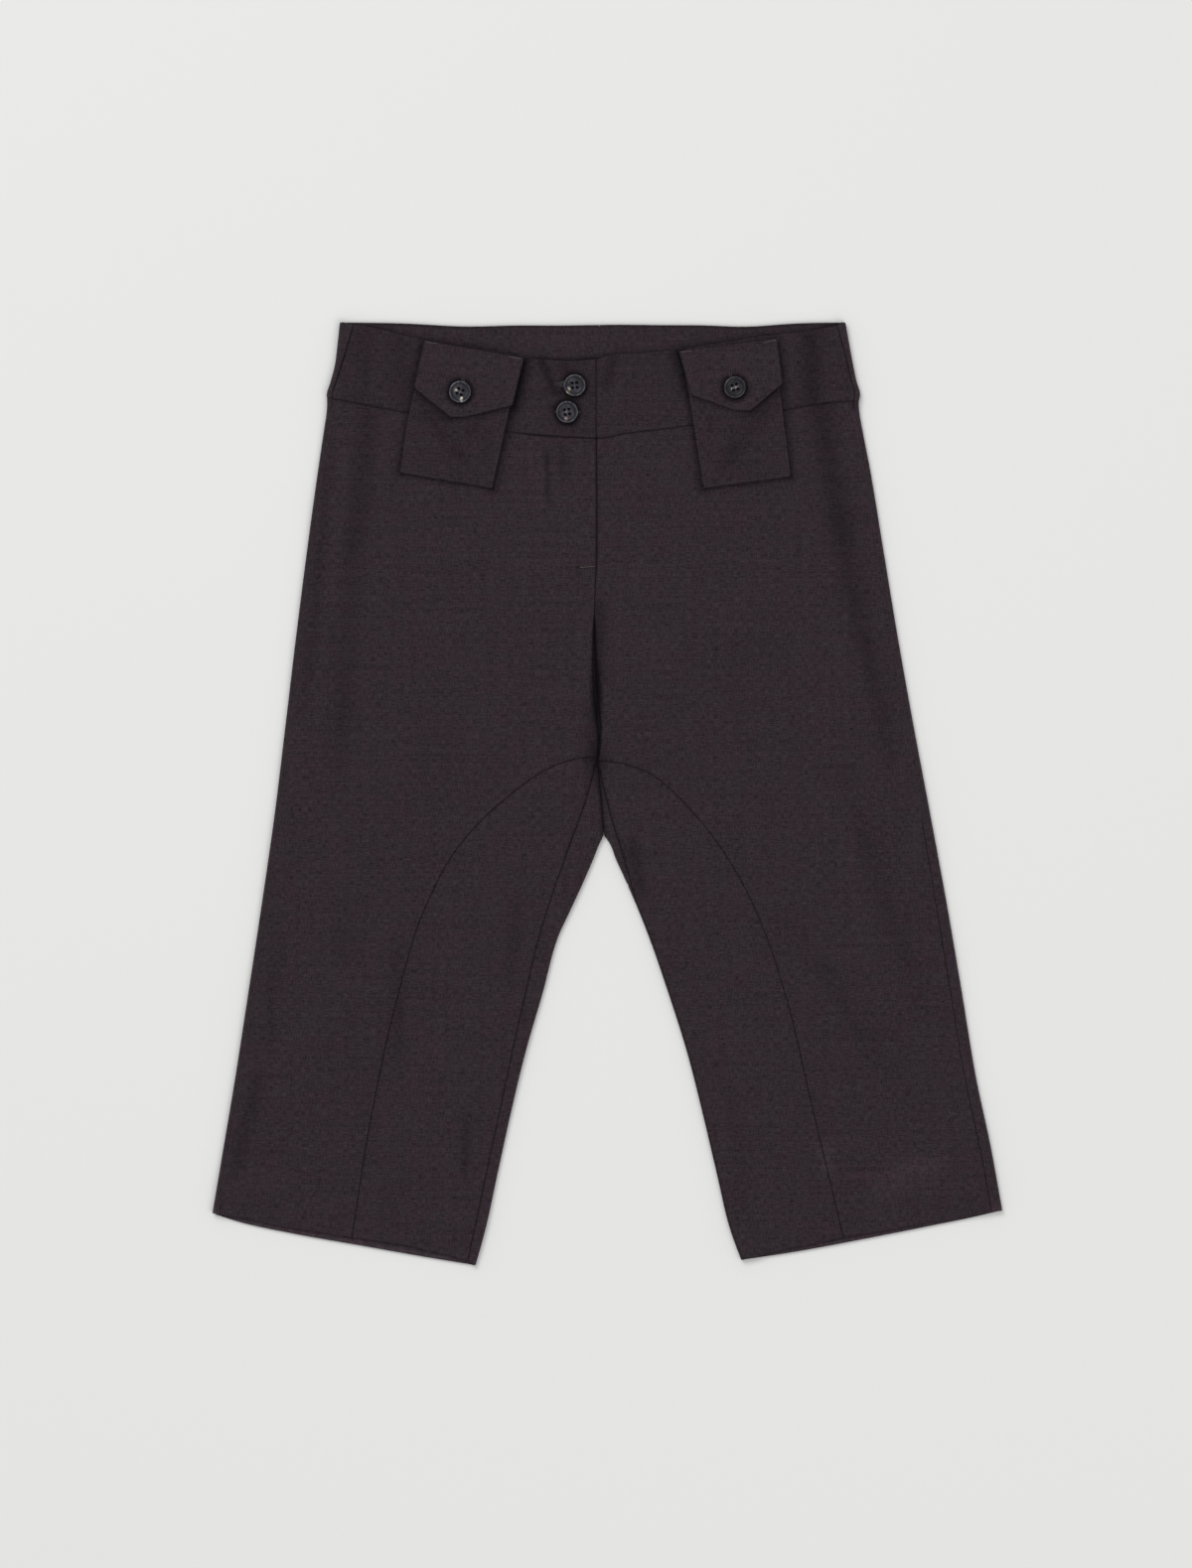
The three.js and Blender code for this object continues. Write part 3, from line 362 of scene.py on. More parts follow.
LEFT = Half(
    side="left",
    sign=1,
    laps=False,
    side_fold=PatternLine.down([
        (362, 191.5), (328, 197.7), (317, 200), (307, 202.8), (299.5, 201.8), (291, 202.5),
        (281, 204.3), (270, 206.4), (259, 208.6), (190, 220.2), (121, 231.6), (53, 243.7),
        (-16, 256.7), (-85, 269.4), (-153, 281), (-221, 292.4), (-268, 302.5), (-320, 312),
    ]),
    side_seam_inset=PatternLine.down([
        (362, 6.5), (328, 4.2), (302, 4.4), (200, 5), (60, 5.4), (-60, 8), (-320, 8.4),
    ]),
    thigh_seam=PatternLine.down([
        (25.5, 1.2), (23.4, 20), (17.5, 37.5), (-12, 72.5), (-50, 101.5), (-102, 128),
        (-154.5, 145.5), (-239, 165.6), (-341, 190),
    ]),
    inseam=PatternLine.down([
        (25.5, 1.2), (-15.5, 11), (-40, 18.4), (-62, 25.2), (-84.5, 31.4), (-107, 39.5), (-153, 55.5),
        (-199, 70), (-244.5, 81.6), (-290.5, 92.4), (-336, 103.4), (-357.6, 111.4),
    ]),
    inner_fold=PatternLine.down([
        (-31.4, 6), (-38.5, 10.8), (-50.5, 15.4), (-61.5, 20.5), (-84.5, 30.5), (-107, 39.5),
        (-153, 55.5), (-199, 70), (-244.5, 81.6), (-290.5, 92.4), (-336, 103.4), (-358, 111.4),
    ]),
    centre_front=PatternLine.down([
        (274, 0), (174.5, 0), (135, -1.3), (89, -0.8), (66, 0.8), (42.5, 3), (25.5, 1.2),
    ]),
    centre_back=PatternLine.down([(299.5, 2.3), (-30, 5.8)]),
    waist_seam=PatternLine([
        (-40, 277), (-12, 277), (0, 273.5), (25, 277), (42, 279), (74, 283), (110, 289), (145.5, 294.6),
        (166.5, 298.6), (180, 300.6), (202, 301.5),
    ]),
    band_top=PatternLine([
        (-40, 330.6), (-16, 330), (0, 333.4), (13, 337.3), (30, 338.2), (62, 341), (96, 346),
        (129.5, 351.5), (166.5, 356.2), (191.4, 360.8),
    ]),
    back_hem=PatternLine([
        (111.4, -358), (154, -351.5), (205, -342), (250.5, -333), (294, -324), (311, -320),
    ]),
    front_hem=PatternLine([
        (111.4, -357.6), (122, -356), (134.5, -352), (158, -347.4), (191, -340.5), (227.5, -334.4),
        (261.5, -328.4), (274.5, -326.6), (311, -319.8),
    ]),
    # A crease's shade is painted shade along it, or painted light where negative; a crease of depth nought
    # is painted shade alone.
    panel_creases=[
        Crease((165, 340), (192, 178), 11, 0.9, 0.32),
        Crease((184, 225), (211, 90), 9, 0.8, 0.24),
        Crease((201, 140), (231, 8), 8, 0.7, 0.22, 0.4),
        Crease((174, 55), (264, -200), 10, 0.7, 0.13, 0.35),
        Crease((130, -70), (256, -262), 9, 0.6, 0.12, 0.35),
        Crease((204, -306), (279, -276), 11, -0.6, -0.26, 0.3),
        Crease((25, -30), (37, -84), 6, 0.5, 0.28),
        Crease((100, -215), (120, -345), 7, 0.5, 0.1),
        Crease((174, -266), (179, -296), 6, -0.2, -0.3),
        Crease((110, 130), (104, -10), 16, 0.4, 0.05),
        Crease((2.0, 160), (1.0, 66), 6.0, 0.0, 0.38, 0.25),
        Crease((188, 20), (203, -110), 10, -0.3, -0.05),
    ],
    band_creases=[
        Crease((164, 382), (167, 282), 9, 0.8, 0.36),
        Crease((148, 356), (150, 320), 4, -0.3, -0.05),
        Crease((16, 342), (5, 306), 4.6, 0.3, 0.34),
    ],
    under_creases=[
        Crease((60, 250), (80, 60), 16, 0.8),
        Crease((200, 90), (240, -90), 15, 0.9),
        Crease((150, -100), (190, -310), 18, 0.8),
    ],
    pouch_creases=[
        Crease((140, 304), (92, 246), 6, 0.6, 0.2),
        Crease((108, 290), (100, 240), 5, 0.35, 0.09),
        Crease((84, 300), (92, 270), 4, 0.3, 0.08),
    ],
    flap=[(138.6, 349), (63.5, 339.6), (73, 306), (107, 294), (118.5, 294), (143, 314.6)],
    pouch_foot=[(149.6, 243.5), (82.5, 234.5)],
    pouch_bow=0.0,
    pocket_button=(106.4, 311.6),
    fold_dark=[
        (28, 1.3), (45, 1.5), (61, 3.3), (76, 4.6), (91, 4.2), (106, 2.5), (122, 1.8), (140, 0.6),
    ],
)


# ---------------------------------------------------------------- heights of the laid cloth


@dataclass(frozen=True)
class Lie:
    """How high the outer faces of the laid cloth are above the floor."""

    panel: float = 3.3
    side_rise: float = 1.7
    side_spread: float = 14.0
    inner_rise: float = 1.4
    inner_spread: float = 11.0
    waist_rise: float = 0.9
    waist_spread: float = 18.0
    band: float = 4.6
    band_lap: float = 6.6
    band_under: float = 4.3
    lap: float = 4.2
    underlap: float = 2.7
    hem_extra: float = 0.5
    hem_depth: float = 34.0
    hem_fade: float = 6.0
    fly_end_y: float = 174.5
    fly_release: float = 14.0
    underlap_width: float = 33.0
    button_stand: float = 40.0
    lap_margin: float = 2.0
    lap_fade: float = 18.0
    under_fade: float = 22.0
    trough_top: float = 140.0
    trough_depth: float = 1.6
    trough_narrow: float = 1.2
    trough_wide: float = 6.0
    trough_ridge: float = 0.7
    # Painted shade in the deep fold along the crotch seam, at its darkest.
    trough_dark: float = 0.93
    ripple: float = 0.16

    def hem_thickening(self, above_hem: Array) -> Array:
        """What the turned hem adds at a height above the hem's edge."""
        return self.hem_extra * (
            1 - smoothstep(above_hem, self.hem_depth - self.hem_fade, self.hem_depth + self.hem_fade)
        )

    def ripples(self, x: Array, y: Array) -> Array:
        """Faint unevenness of cloth that isn't pressed: a sum of seeded waves 24 to 110 mm long."""
        rng = np.random.default_rng(11)
        total = np.zeros(np.broadcast(x, y).shape)
        for length in np.geomspace(24, 110, 9):
            turn, phase = rng.uniform(0, math.pi), rng.uniform(0, TAU)
            wave = np.sin(TAU / length * (x * math.cos(turn) + y * math.sin(turn)) + phase)
            total += wave * (length / 110) ** 0.8
        return self.ripple * total

    def lap_share(self, half: Half, from_centre: Array, width: float) -> Array:
        """One where the halves overlap, which is over the width on the right, fading past its end."""
        end, fade = (width, self.lap_fade) if half.laps else (0.0, self.under_fade)
        return 1 - smoothstep(from_centre, end + self.lap_margin, end + self.lap_margin + fade)

    def trough(self, half: Half, from_centre: Array, y: Array) -> Array:
        """Depth of the deep fold along the crotch seam below the fly.

        Above its middle the right half's edge is steep and the left half slopes down to it, and
        below the middle it is the other way round. A low ridge runs beside the steep edge.
        """
        ends, steep = self.trough_ends(half, y), self.trough_steep(half, y)
        width = lerp(self.trough_wide, self.trough_narrow, steep)
        ridge = self.trough_ridge * bell(from_centre - 7.0, 4.5) * lerp(0.3, 1.0, steep)
        return ends * (self.trough_depth * np.exp(-((from_centre / width) ** 2)) - ridge)

    def trough_ends(self, half: Half, y: Array) -> Array:
        """One along the deep fold, and nought past its ends."""
        ends = smoothstep(y, half.four_way[1] - 10, half.four_way[1] + 26)
        return ends * (1 - smoothstep(y, self.trough_top - 34, self.trough_top))

    def trough_steep(self, half: Half, y: Array) -> Array:
        """One where the half's own edge of the deep fold is steep, and nought where it slopes."""
        lower = 1 - smoothstep(y, 56, 80)
        return 1 - lower if half.laps else lower

    def panel_lightness(self, half: Half, away: Array, y: Array) -> Array:
        """Painted shade and light on the panels at plan points: shade in the deep fold, where the seams
        meet at the fork and in the creases, light on ridges.
        """
        from_centre = away - half.centre_front.away_at(y)
        # Painted shade in the deep fold, a spread wide at each height.
        spread = np.interp(y, *zip(*half.fold_dark))
        in_fold = smoothstep(y, half.four_way[1] - 3, half.four_way[1] + 4)
        in_fold = in_fold * (1 - smoothstep(y, self.trough_top - 9, self.trough_top + 1))
        dark = self.trough_dark * in_fold * np.exp(-((from_centre / spread) ** 4))
        # Painted shade round the fork, where the seams meet.
        meeting = np.hypot(away - half.four_way[0], 0.7 * (y - half.four_way[1]))
        near_seat = 1 - 0.5 * bell(meeting, 8.0)
        return (1 - dark) * near_seat * lightness(half.panel_creases, away, y)

    def panel_height(self, half: Half, away: Array, y: Array) -> Array:
        """Height of the outer face of a front, thigh inset or folded-over back edge."""
        from_side = half.side_fold.away_at(y) - away
        crotch_away, crotch_y = half.crotch
        below = away - half.inner_fold.away_at(y)
        from_inner = np.where(y < crotch_y, below, np.hypot(away - crotch_away, y - crotch_y))
        waist = self.waist_rise * bell(half.waist_seam.y_at(away) - y, self.waist_spread)
        from_centre = away - half.centre_front.away_at(y)
        on_fly = smoothstep(y, self.fly_end_y - self.fly_release, self.fly_end_y)
        free = (
            self.panel
            + self.side_rise * bell(from_side, self.side_spread)
            + self.inner_rise * bell(from_inner, self.inner_spread)
            + waist
            + self.hem_thickening(y - half.front_hem.y_at(away))
            - self.trough(half, from_centre, y)
            - sum(crease.depth_at(away, y) for crease in half.panel_creases)
        )
        lapped = (self.lap if half.laps else self.underlap) + waist
        share = self.lap_share(half, from_centre, self.underlap_width)
        height = lerp(free, lapped, share * on_fly)
        return height + self.ripples(half.x(away), y)

    def band_height(self, half: Half, away: Array, y: Array) -> Array:
        """Height of the outer face of the front waistband."""
        from_side = half.side_fold.away_at(y) - away
        free = self.band + self.side_rise * bell(from_side, self.side_spread)
        free = free - sum(crease.depth_at(away, y) for crease in half.band_creases)
        share = self.lap_share(half, away, self.button_stand)
        height = lerp(free, self.band_lap if half.laps else self.band_under, share)
        return height + 0.7 * self.ripples(half.x(away), y)

    def front_height(self, half: Half, away: Array, y: Array) -> Array:
        """Height of whichever lies on top, easing from the band down to the panel below it."""
        share = smoothstep(y - half.waist_seam.y_at(away), -self.waist_spread, 0)
        panel, band = self.panel_height(half, away, y), self.band_height(half, away, y)
        return lerp(panel, np.maximum(band, panel), share)

    def under_height(self, half: Half, away: Array, y: Array) -> Array:
        """Height of the underside, which is flat on the floor but for a few soft folds."""
        return sum(crease.depth_at(away, y) for crease in half.under_creases)


LIE = Lie()


# ---------------------------------------------------------------- closed cloth from grids


EDGE_STEPS = np.array([0.0, 0.1, 0.25, 0.45, 0.75, 1.2, 2.0, 3.2])


def crowded(length: Array, count: int, start: bool = True, end: bool = True) -> Array:
    """Shares along rows of the lengths given, crowded within 3 mm of the ends asked for.

    Args:
        length: the rows' lengths.
        count: how many even steps lie between the crowded ends.
        start: whether the shares crowd at the start.
        end: whether they crowd at the end.

    Returns:
        An array (rows, shares) that rises from nought to one in each row.
    """
    length = np.maximum(np.atleast_1d(np.asarray(length, float)), 1e-6)[:, None]
    squeeze = np.minimum(1, length / (3 * EDGE_STEPS[-1]))
    first = EDGE_STEPS * squeeze if start else np.zeros_like(length)
    last = length - EDGE_STEPS[::-1] * squeeze if end else length
    even = np.linspace(0, 1, count + 1)[1:-1]
    middle = first[:, -1:] + (last[:, :1] - first[:, -1:]) * even
    return np.hstack([first, middle, last]) / length


@dataclass
class Grid:
    """A surface as rows and columns of points, with the cloth's own coordinates at each.

    Its outer face looks along the cross product of its column direction and its row direction,
    unless flip is set.
    """

    points: Array
    cloth: Array
    flip: bool = False

    def borders(self) -> list[Array]:
        """Its four edges as polylines."""
        return [self.points[0], self.points[-1], self.points[:, 0], self.points[:, -1]]


@dataclass
class Edge:
    """An edge or line where the cloth turns down or is drawn in.

    It rounds off over the radius, sinks by depth over the spread beside it, and paints shade on the cloth
    beside it, or light where its shade is negative.
    """

    line: Array
    radius: float = 0.5
    depth: float = 0.1
    spread: float = 1.6
    shade: float = 0.2
    shade_spread: float = 0.8
    in_plan: bool = False

    def distance(self, points: Array) -> Array:
        """Distance of points from the line, or from the line below or above them."""
        axes = 2 if self.in_plan else 3
        return distance_to(points[:, :axes], even_line(self.line[:, :axes]))

    def sink(self, distance: Array) -> Array:
        """How far the face lies below the even cloth: a quarter round, and a shallow bell."""
        inside = np.clip(self.radius - distance, 0, self.radius)
        rounded = self.radius - np.sqrt(np.maximum(self.radius**2 - inside**2, 0))
        return rounded + self.depth * bell(distance, self.spread)


def even_wall(thickness: float) -> Callable[[Array], Array]:
    """A wall of the same thickness at every point."""
    return lambda points: np.full(len(points), thickness)


def even_line(line: Array, step: float = 2.5) -> Array:
    """The polyline with corners about a step apart, so that distances to it are quick to find."""
    run = np.linalg.norm(np.diff(line, axis=0), axis=1)
    reach = np.concatenate([[0.0], np.cumsum(run)])
    places = np.linspace(0, reach[-1], max(2, int(reach[-1] / step) + 1))
    return np.stack([np.interp(places, reach, line[:, axis]) for axis in range(line.shape[1])], axis=1)


@dataclass
class Cloth:
    """One cut piece of cloth: a closed thin shell made from grids that meet at shared points."""

    name: str
    grids: Sequence[Grid]
    edges: Sequence[Edge]
    thickness: Callable[[Array], Array]
    # Painted shade and light on the colour at points.
    light: Callable[[Array], Array] = lambda points: np.ones(len(points))

    WELD = 1e4
    SHARP = math.radians(60)
    # Painted light on steep faces, which the lamps light less: up to this much more at a vertical face.
    STEEP_PAINTED_LIGHT = 1.1

    def build(self) -> bpy.types.Object:
        """Welds the grids, sinks their edges, adds the inner face and the rim, and writes the mesh."""
        points = np.concatenate([grid.points.reshape(-1, 3) for grid in self.grids])
        cloth = np.concatenate([grid.cloth.reshape(-1, 2) for grid in self.grids])
        _, first, place = np.unique(
            np.round(points * self.WELD).astype(np.int64), axis=0, return_index=True, return_inverse=True
        )
        place = place.ravel()
        outer = points[first]
        corners = self._triangles()
        faces = place[corners]
        whole = (
            (faces[:, 0] != faces[:, 1]) & (faces[:, 1] != faces[:, 2]) & (faces[:, 2] != faces[:, 0])
        )
        faces, corners = faces[whole], corners[whole]
        normals = self._normals(outer, faces)
        # Painted shade and light: the light callable's, and painted light on steep faces.
        shade = self.light(outer) * (1 + self.STEEP_PAINTED_LIGHT * (1 - np.abs(normals[:, 2])))
        sunk = np.zeros(len(outer))
        # Each edge sinks the face beside it and paints shade there, or light where its shade is negative.
        for edge in self.edges:
            distance = edge.distance(outer)
            sunk = np.maximum(sunk, edge.sink(distance))
            shade *= 1 - edge.shade * bell(distance, edge.shade_spread)
        wall = self.thickness(outer)
        inner = outer - normals * (wall + sunk)[:, None]
        outer = outer - normals * sunk[:, None]
        rim = self._rim(faces)
        count = len(outer)
        rim_faces = np.vstack([
            np.stack([rim[:, 1], rim[:, 0], rim[:, 0] + count], axis=1),
            np.stack([rim[:, 1], rim[:, 0] + count, rim[:, 1] + count], axis=1),
        ])
        by_place = np.zeros((count, 2))
        by_place[place] = cloth
        uv = np.concatenate([
            cloth[corners].reshape(-1, 2),
            cloth[corners[:, ::-1]].reshape(-1, 2),
            by_place[rim_faces % count].reshape(-1, 2),
        ])
        triangles = np.vstack([faces, faces[:, ::-1] + count, rim_faces])
        return write(self.name, np.vstack([outer, inner]), triangles, uv, np.tile(shade, 2), self.SHARP)

    def _triangles(self) -> Array:
        """Two triangles for each cell of each grid, as indices of the unwelded points."""
        found, offset = [], 0
        for grid in self.grids:
            rows, columns = grid.points.shape[:2]
            index = offset + np.arange(rows * columns).reshape(rows, columns)
            a, b, c, d = index[:-1, :-1], index[:-1, 1:], index[1:, 1:], index[1:, :-1]
            corners = np.stack([a, b, c, a, c, d], axis=-1).reshape(-1, 3)
            found.append(corners[:, ::-1] if grid.flip else corners)
            offset += rows * columns
        return np.vstack(found)

    @staticmethod
    def _normals(points: Array, faces: Array) -> Array:
        """Unit normals at the points: the area-weighted mean of the faces around each."""
        a, b, c = (points[faces[:, corner]] for corner in range(3))
        facing = np.cross(b - a, c - a)
        total = np.zeros_like(points)
        for corner in range(3):
            np.add.at(total, faces[:, corner], facing)
        return unit(total)

    @staticmethod
    def _rim(faces: Array) -> Array:
        """Directed edges that only one face has."""
        edges = np.vstack([faces[:, [0, 1]], faces[:, [1, 2]], faces[:, [2, 0]]])
        size = int(faces.max()) + 1
        forth = edges[:, 0].astype(np.int64) * size + edges[:, 1]
        back = edges[:, 1].astype(np.int64) * size + edges[:, 0]
        return edges[~np.isin(back, forth)]


def write(
    name: str,
    points: Array,
    faces: Array,
    uv: Optional[Array] = None,
    shade: Optional[Array] = None,
    sharp: float = math.radians(40),
) -> bpy.types.Object:
    """Writes a mesh object in metres.

    Args:
        name: the object's name.
        points: its vertices in millimetres.
        faces: its faces, each a row of vertex indices.
        uv: the cloth's coordinates at each corner of each face, in millimetres.
        shade: painted light and shade at each vertex, a factor on its colour, one where none is painted.
        sharp: angle between faces from which an edge is sharp.

    Returns:
        The object, linked to the scene.
    """
    mesh = bpy.data.meshes.new(name)
    mesh.from_pydata((points * MM).tolist(), [], faces.tolist())
    if uv is not None:
        layer = mesh.uv_layers.new(name="cloth")
        layer.data.foreach_set("uv", (uv * MM).astype(np.float32).ravel())
    if shade is not None:
        attribute = mesh.attributes.new("shade", "FLOAT", "POINT")
        attribute.data.foreach_set("value", shade.astype(np.float32))
    mesh.shade_smooth()
    mesh.set_sharp_from_angle(angle=sharp)
    mesh.validate()
    made = bpy.data.objects.new(name, mesh)
    bpy.context.scene.collection.objects.link(made)
    return made


def place(half: Half, plan: Array, z: Array) -> Array:
    """Points in the garment's frame from plan points and heights."""
    return np.stack(np.broadcast_arrays(half.x(plan[..., 0]), plan[..., 1], z), axis=-1)


def raised(half: Half, plan: Array, height: Height) -> Array:
    """Plan points lifted onto a height."""
    return place(half, plan, height(plan[..., 0], plan[..., 1]))


def pocket_shadow(half: Half) -> list[Edge]:
    """A painted shadow beside a pouch pocket on what it hangs over, deepest on the inner side."""
    outer_top, inner_top, inner_corner, *_, outer_corner = half.flap
    outer_foot, inner_foot = half.pouch_foot
    sides = (
        ([inner_top, inner_corner], 0.54, 6.8),
        ([inner_top, inner_corner, inner_foot], 0.52, 4.4),
        ([inner_foot, outer_foot], 0.22, 3.0),
        ([outer_foot, outer_corner, outer_top], 0.34, 4.4),
    )
    edges = []
    for corners, shade, spread in sides:
        line = place(half, np.array(corners), np.zeros(len(corners)))
        edges.append(Edge(line, 0.01, 0.0, 1.0, shade, spread, in_plan=True))
    return edges


def button_shadow(half: Half, spot: tuple[float, float], radius: float = 9.0) -> Edge:
    """A painted shadow: the dark ring round a button on the cloth below it."""
    angle = np.linspace(0, TAU, 49)
    x, y = half.x(spot[0]) + radius * np.cos(angle), spot[1] + radius * np.sin(angle)
    ring = np.stack([x, y, 0 * angle], axis=-1)
    return Edge(ring, radius=0.01, depth=0.0, shade=0.76, shade_spread=2.5, in_plan=True)


WAIST_BUTTONS = (("upper", (16.4, 313.4)), ("lower", (22.2, 293.0)))


# ---------------------------------------------------------------- finishes


class Value:
    """A node socket that carries a number, with Python's operators adding Math nodes."""

    def __init__(self, nodes: "Nodes", socket: bpy.types.NodeSocket) -> None:
        """Wraps a socket."""
        self.nodes = nodes
        self.socket = socket

    def _math(self, operation: str, *values: object) -> "Value":
        """A Math node on values."""
        return self.nodes.add("ShaderNodeMath", {"operation": operation}, dict(enumerate(values)))

    def __add__(self, other: object) -> "Value":
        """Sum."""
        return self._math("ADD", self, other)

    __radd__ = __add__

    def __mul__(self, other: object) -> "Value":
        """Product."""
        return self._math("MULTIPLY", self, other)

    __rmul__ = __mul__

    def __sub__(self, other: object) -> "Value":
        """Difference."""
        return self._math("SUBTRACT", self, other)

    def __rsub__(self, other: object) -> "Value":
        """Difference from a number."""
        return self._math("SUBTRACT", other, self)

    def __truediv__(self, other: object) -> "Value":
        """Quotient."""
        return self._math("DIVIDE", self, other)

    def __rtruediv__(self, other: object) -> "Value":
        """Quotient of a number."""
        return self._math("DIVIDE", other, self)

    def __pow__(self, other: object) -> "Value":
        """Power."""
        return self._math("POWER", self, other)

    def sine(self) -> "Value":
        """Sine."""
        return self._math("SINE", self)

    def smooth(self, low: float, high: float) -> "Value":
        """Nought below low and one above high, with a smooth S between."""
        return self.nodes.add(
            "ShaderNodeMapRange", {"interpolation_type": "SMOOTHSTEP"}, {0: self, 1: low, 2: high}
        )


class Nodes:
    """A material's node tree, with one method that adds any node."""

    def __init__(self, name: str) -> None:
        """Starts an empty material with its output."""
        self.material = bpy.data.materials.new(name)
        self.material.use_nodes = True
        self.tree = self.material.node_tree
        self.tree.nodes.clear()
        self.output = self.tree.nodes.new("ShaderNodeOutputMaterial")

    def add(self, kind: str, settings: dict, sockets: dict, output: object = 0) -> Value:
        """Adds a node.

        Args:
            kind: the node's type.
            settings: its own settings, set first; "stops" holds a colour ramp's (place, colour).
            sockets: for each input, by name or index, a number, a colour or a Value to link.
            output: the output wanted, by name or index.

        Returns:
            The output as a Value.
        """
        node = self.tree.nodes.new(kind)
        for key, value in settings.items():
            if key == "stops":
                self._stops(node.color_ramp, value)
            else:
                setattr(node, key, value)
        for key, value in sockets.items():
            if isinstance(value, Value):
                self.tree.links.new(value.socket, node.inputs[key])
            else:
                node.inputs[key].default_value = value
        return Value(self, node.outputs[output])

    @staticmethod
    def _stops(ramp: bpy.types.ColorRamp, stops: Sequence[tuple[float, tuple]]) -> None:
        """Sets a ramp's stops."""
        while len(ramp.elements) < len(stops):
            ramp.elements.new(0.5)
        for element, (spot, colour) in zip(ramp.elements, stops):
            element.position = spot
            element.color = colour

    def noise(self, vector: Value, scale: float, detail: float = 2.0, roughness: float = 0.5) -> Value:
        """Noise between nought and one."""
        return self.add(
            "ShaderNodeTexNoise",
            {"noise_dimensions": "3D"},
            {"Vector": vector, "Scale": scale, "Detail": detail, "Roughness": roughness},
        )

    def stretched(
        self, vector: Value, scale: tuple, turn: tuple = (0, 0, 0), shift: tuple = (0, 0, 0)
    ) -> Value:
        """The coordinates scaled, turned and shifted by a Mapping node."""
        sockets = {"Vector": vector, "Scale": scale, "Rotation": turn, "Location": shift}
        return self.add("ShaderNodeMapping", {}, sockets)

    def mix(self, share: object, low: object, high: object, blend: str = "MIX") -> Value:
        """Two colours mixed."""
        return self.add(
            "ShaderNodeMix", {"data_type": "RGBA", "blend_type": blend}, {0: share, 6: low, 7: high}, 2
        )

    def shader(self, sockets: dict) -> None:
        """A Principled BSDF on the output."""
        made = self.add("ShaderNodeBsdfPrincipled", {}, sockets)
        self.tree.links.new(made.socket, self.output.inputs["Surface"])

    def bump(self, height: Value, depth_mm: float, strength: float = 1.0) -> Value:
        """A Bump node on a height between nought and one."""
        return self.add(
            "ShaderNodeBump", {}, {"Height": height, "Distance": depth_mm * MM, "Strength": strength}
        )


Colour = tuple[float, float, float]


def rgba(colour: Colour) -> tuple[float, float, float, float]:
    """A colour with full alpha."""
    return (*colour, 1.0)


@dataclass(frozen=True)
class Suiting:
    """Matte plain-weave wool with a melange of plum and blue-grey fibres."""

    name: str = "wool_suiting"
    dark: Colour = (0.0105, 0.0072, 0.0090)
    light: Colour = (0.0450, 0.0338, 0.0392)
    plum: Colour = (1.07, 0.96, 0.99)
    slate: Colour = (0.95, 1.02, 1.04)
    rosy: Colour = (1.032, 0.98, 0.998)
    grey: Colour = (0.975, 1.015, 1.012)
    gloss: Colour = (1.0, 0.84, 0.98)
    thread: float = 0.55
    roughness: float = 0.92

    def make(self) -> bpy.types.Material:
        """Builds the material: warp and weft threads, slubs along both, and slow changes of hue."""
        nodes = Nodes(self.name)
        cloth = nodes.add("ShaderNodeUVMap", {"uv_map": "cloth"}, {})
        threads = nodes.stretched(cloth, (TAU / (self.thread * MM), TAU / (self.thread * MM), 1))
        warp = nodes.add("ShaderNodeSeparateXYZ", {}, {0: threads}, 0).sine()
        weft = nodes.add("ShaderNodeSeparateXYZ", {}, {0: threads}, 1).sine()
        weave = warp * weft * 0.5 + 0.5
        slub_down = nodes.noise(nodes.stretched(cloth, (1500, 210, 1)), 1.0, 2.0, 0.6)
        slub_across = nodes.noise(nodes.stretched(cloth, (190, 1500, 1), shift=(3, 7, 0)), 1.0, 2.0, 0.6)
        fleck = nodes.noise(nodes.stretched(cloth, (1500, 1500, 1), shift=(9, 2, 0)), 1.0, 2.0, 0.7)
        bands = nodes.noise(nodes.stretched(cloth, (13, 520, 1), shift=(1, 4, 0)), 1.0, 3.0, 0.6)
        stripes = nodes.noise(nodes.stretched(cloth, (300, 14, 1), shift=(2, 8, 0)), 1.0, 2.0, 0.6)
        cloud = nodes.noise(nodes.stretched(cloth, (34, 34, 1)), 1.0, 3.0, 0.55)
        fine = slub_down * 1.75 + slub_across * 1.9 + fleck * 0.95 + weave * 0.15
        broad = bands * 0.62 + stripes * 0.3 + cloud * 0.12
        tone = fine + broad - 2.395
        ground = nodes.mix(tone.smooth(-0.25, 1.25), rgba(self.dark), rgba(self.light))
        hue = nodes.noise(nodes.stretched(cloth, (70, 80, 1), shift=(5, 1, 0)), 1.0, 5.0, 0.7)
        tint = nodes.mix(hue.smooth(0.3, 0.7), rgba(self.plum), rgba(self.slate))
        drift = nodes.noise(nodes.stretched(cloth, (26, 32, 1), shift=(8, 3, 0)), 1.0, 3.0, 0.55)
        worn = nodes.mix(drift.smooth(0.36, 0.64), rgba(self.rosy), rgba(self.grey))
        tinted = nodes.mix(1.0, nodes.mix(1.0, ground, tint, "MULTIPLY"), worn, "MULTIPLY")
        # The shade attribute is painted shade and light; it scales the base colour.
        shade = nodes.add("ShaderNodeAttribute", {"attribute_name": "shade"}, {}, "Fac")
        shaded = nodes.add("ShaderNodeVectorMath", {"operation": "SCALE"}, {0: tinted, 3: shade})
        relief = weave * 0.5 + slub_down * 0.5 + slub_across * 0.6 + fleck * 0.3
        nodes.shader({
            "Base Color": shaded,
            "Roughness": fleck * 0.08 + self.roughness - 0.04,
            "Specular IOR Level": 0.1,
            "Specular Tint": rgba(self.gloss),
            "Sheen Weight": 0.04,
            "Sheen Roughness": 0.5,
            "Sheen Tint": rgba(self.gloss),
            "Normal": nodes.bump(relief, 0.12, 0.6),
        })
        return nodes.material


@dataclass(frozen=True)
class Patch:
    """A pale mottled patch on a button: its middle from the button's, its size and its strength."""

    across: float
    up: float
    size: float
    strength: float = 1.0


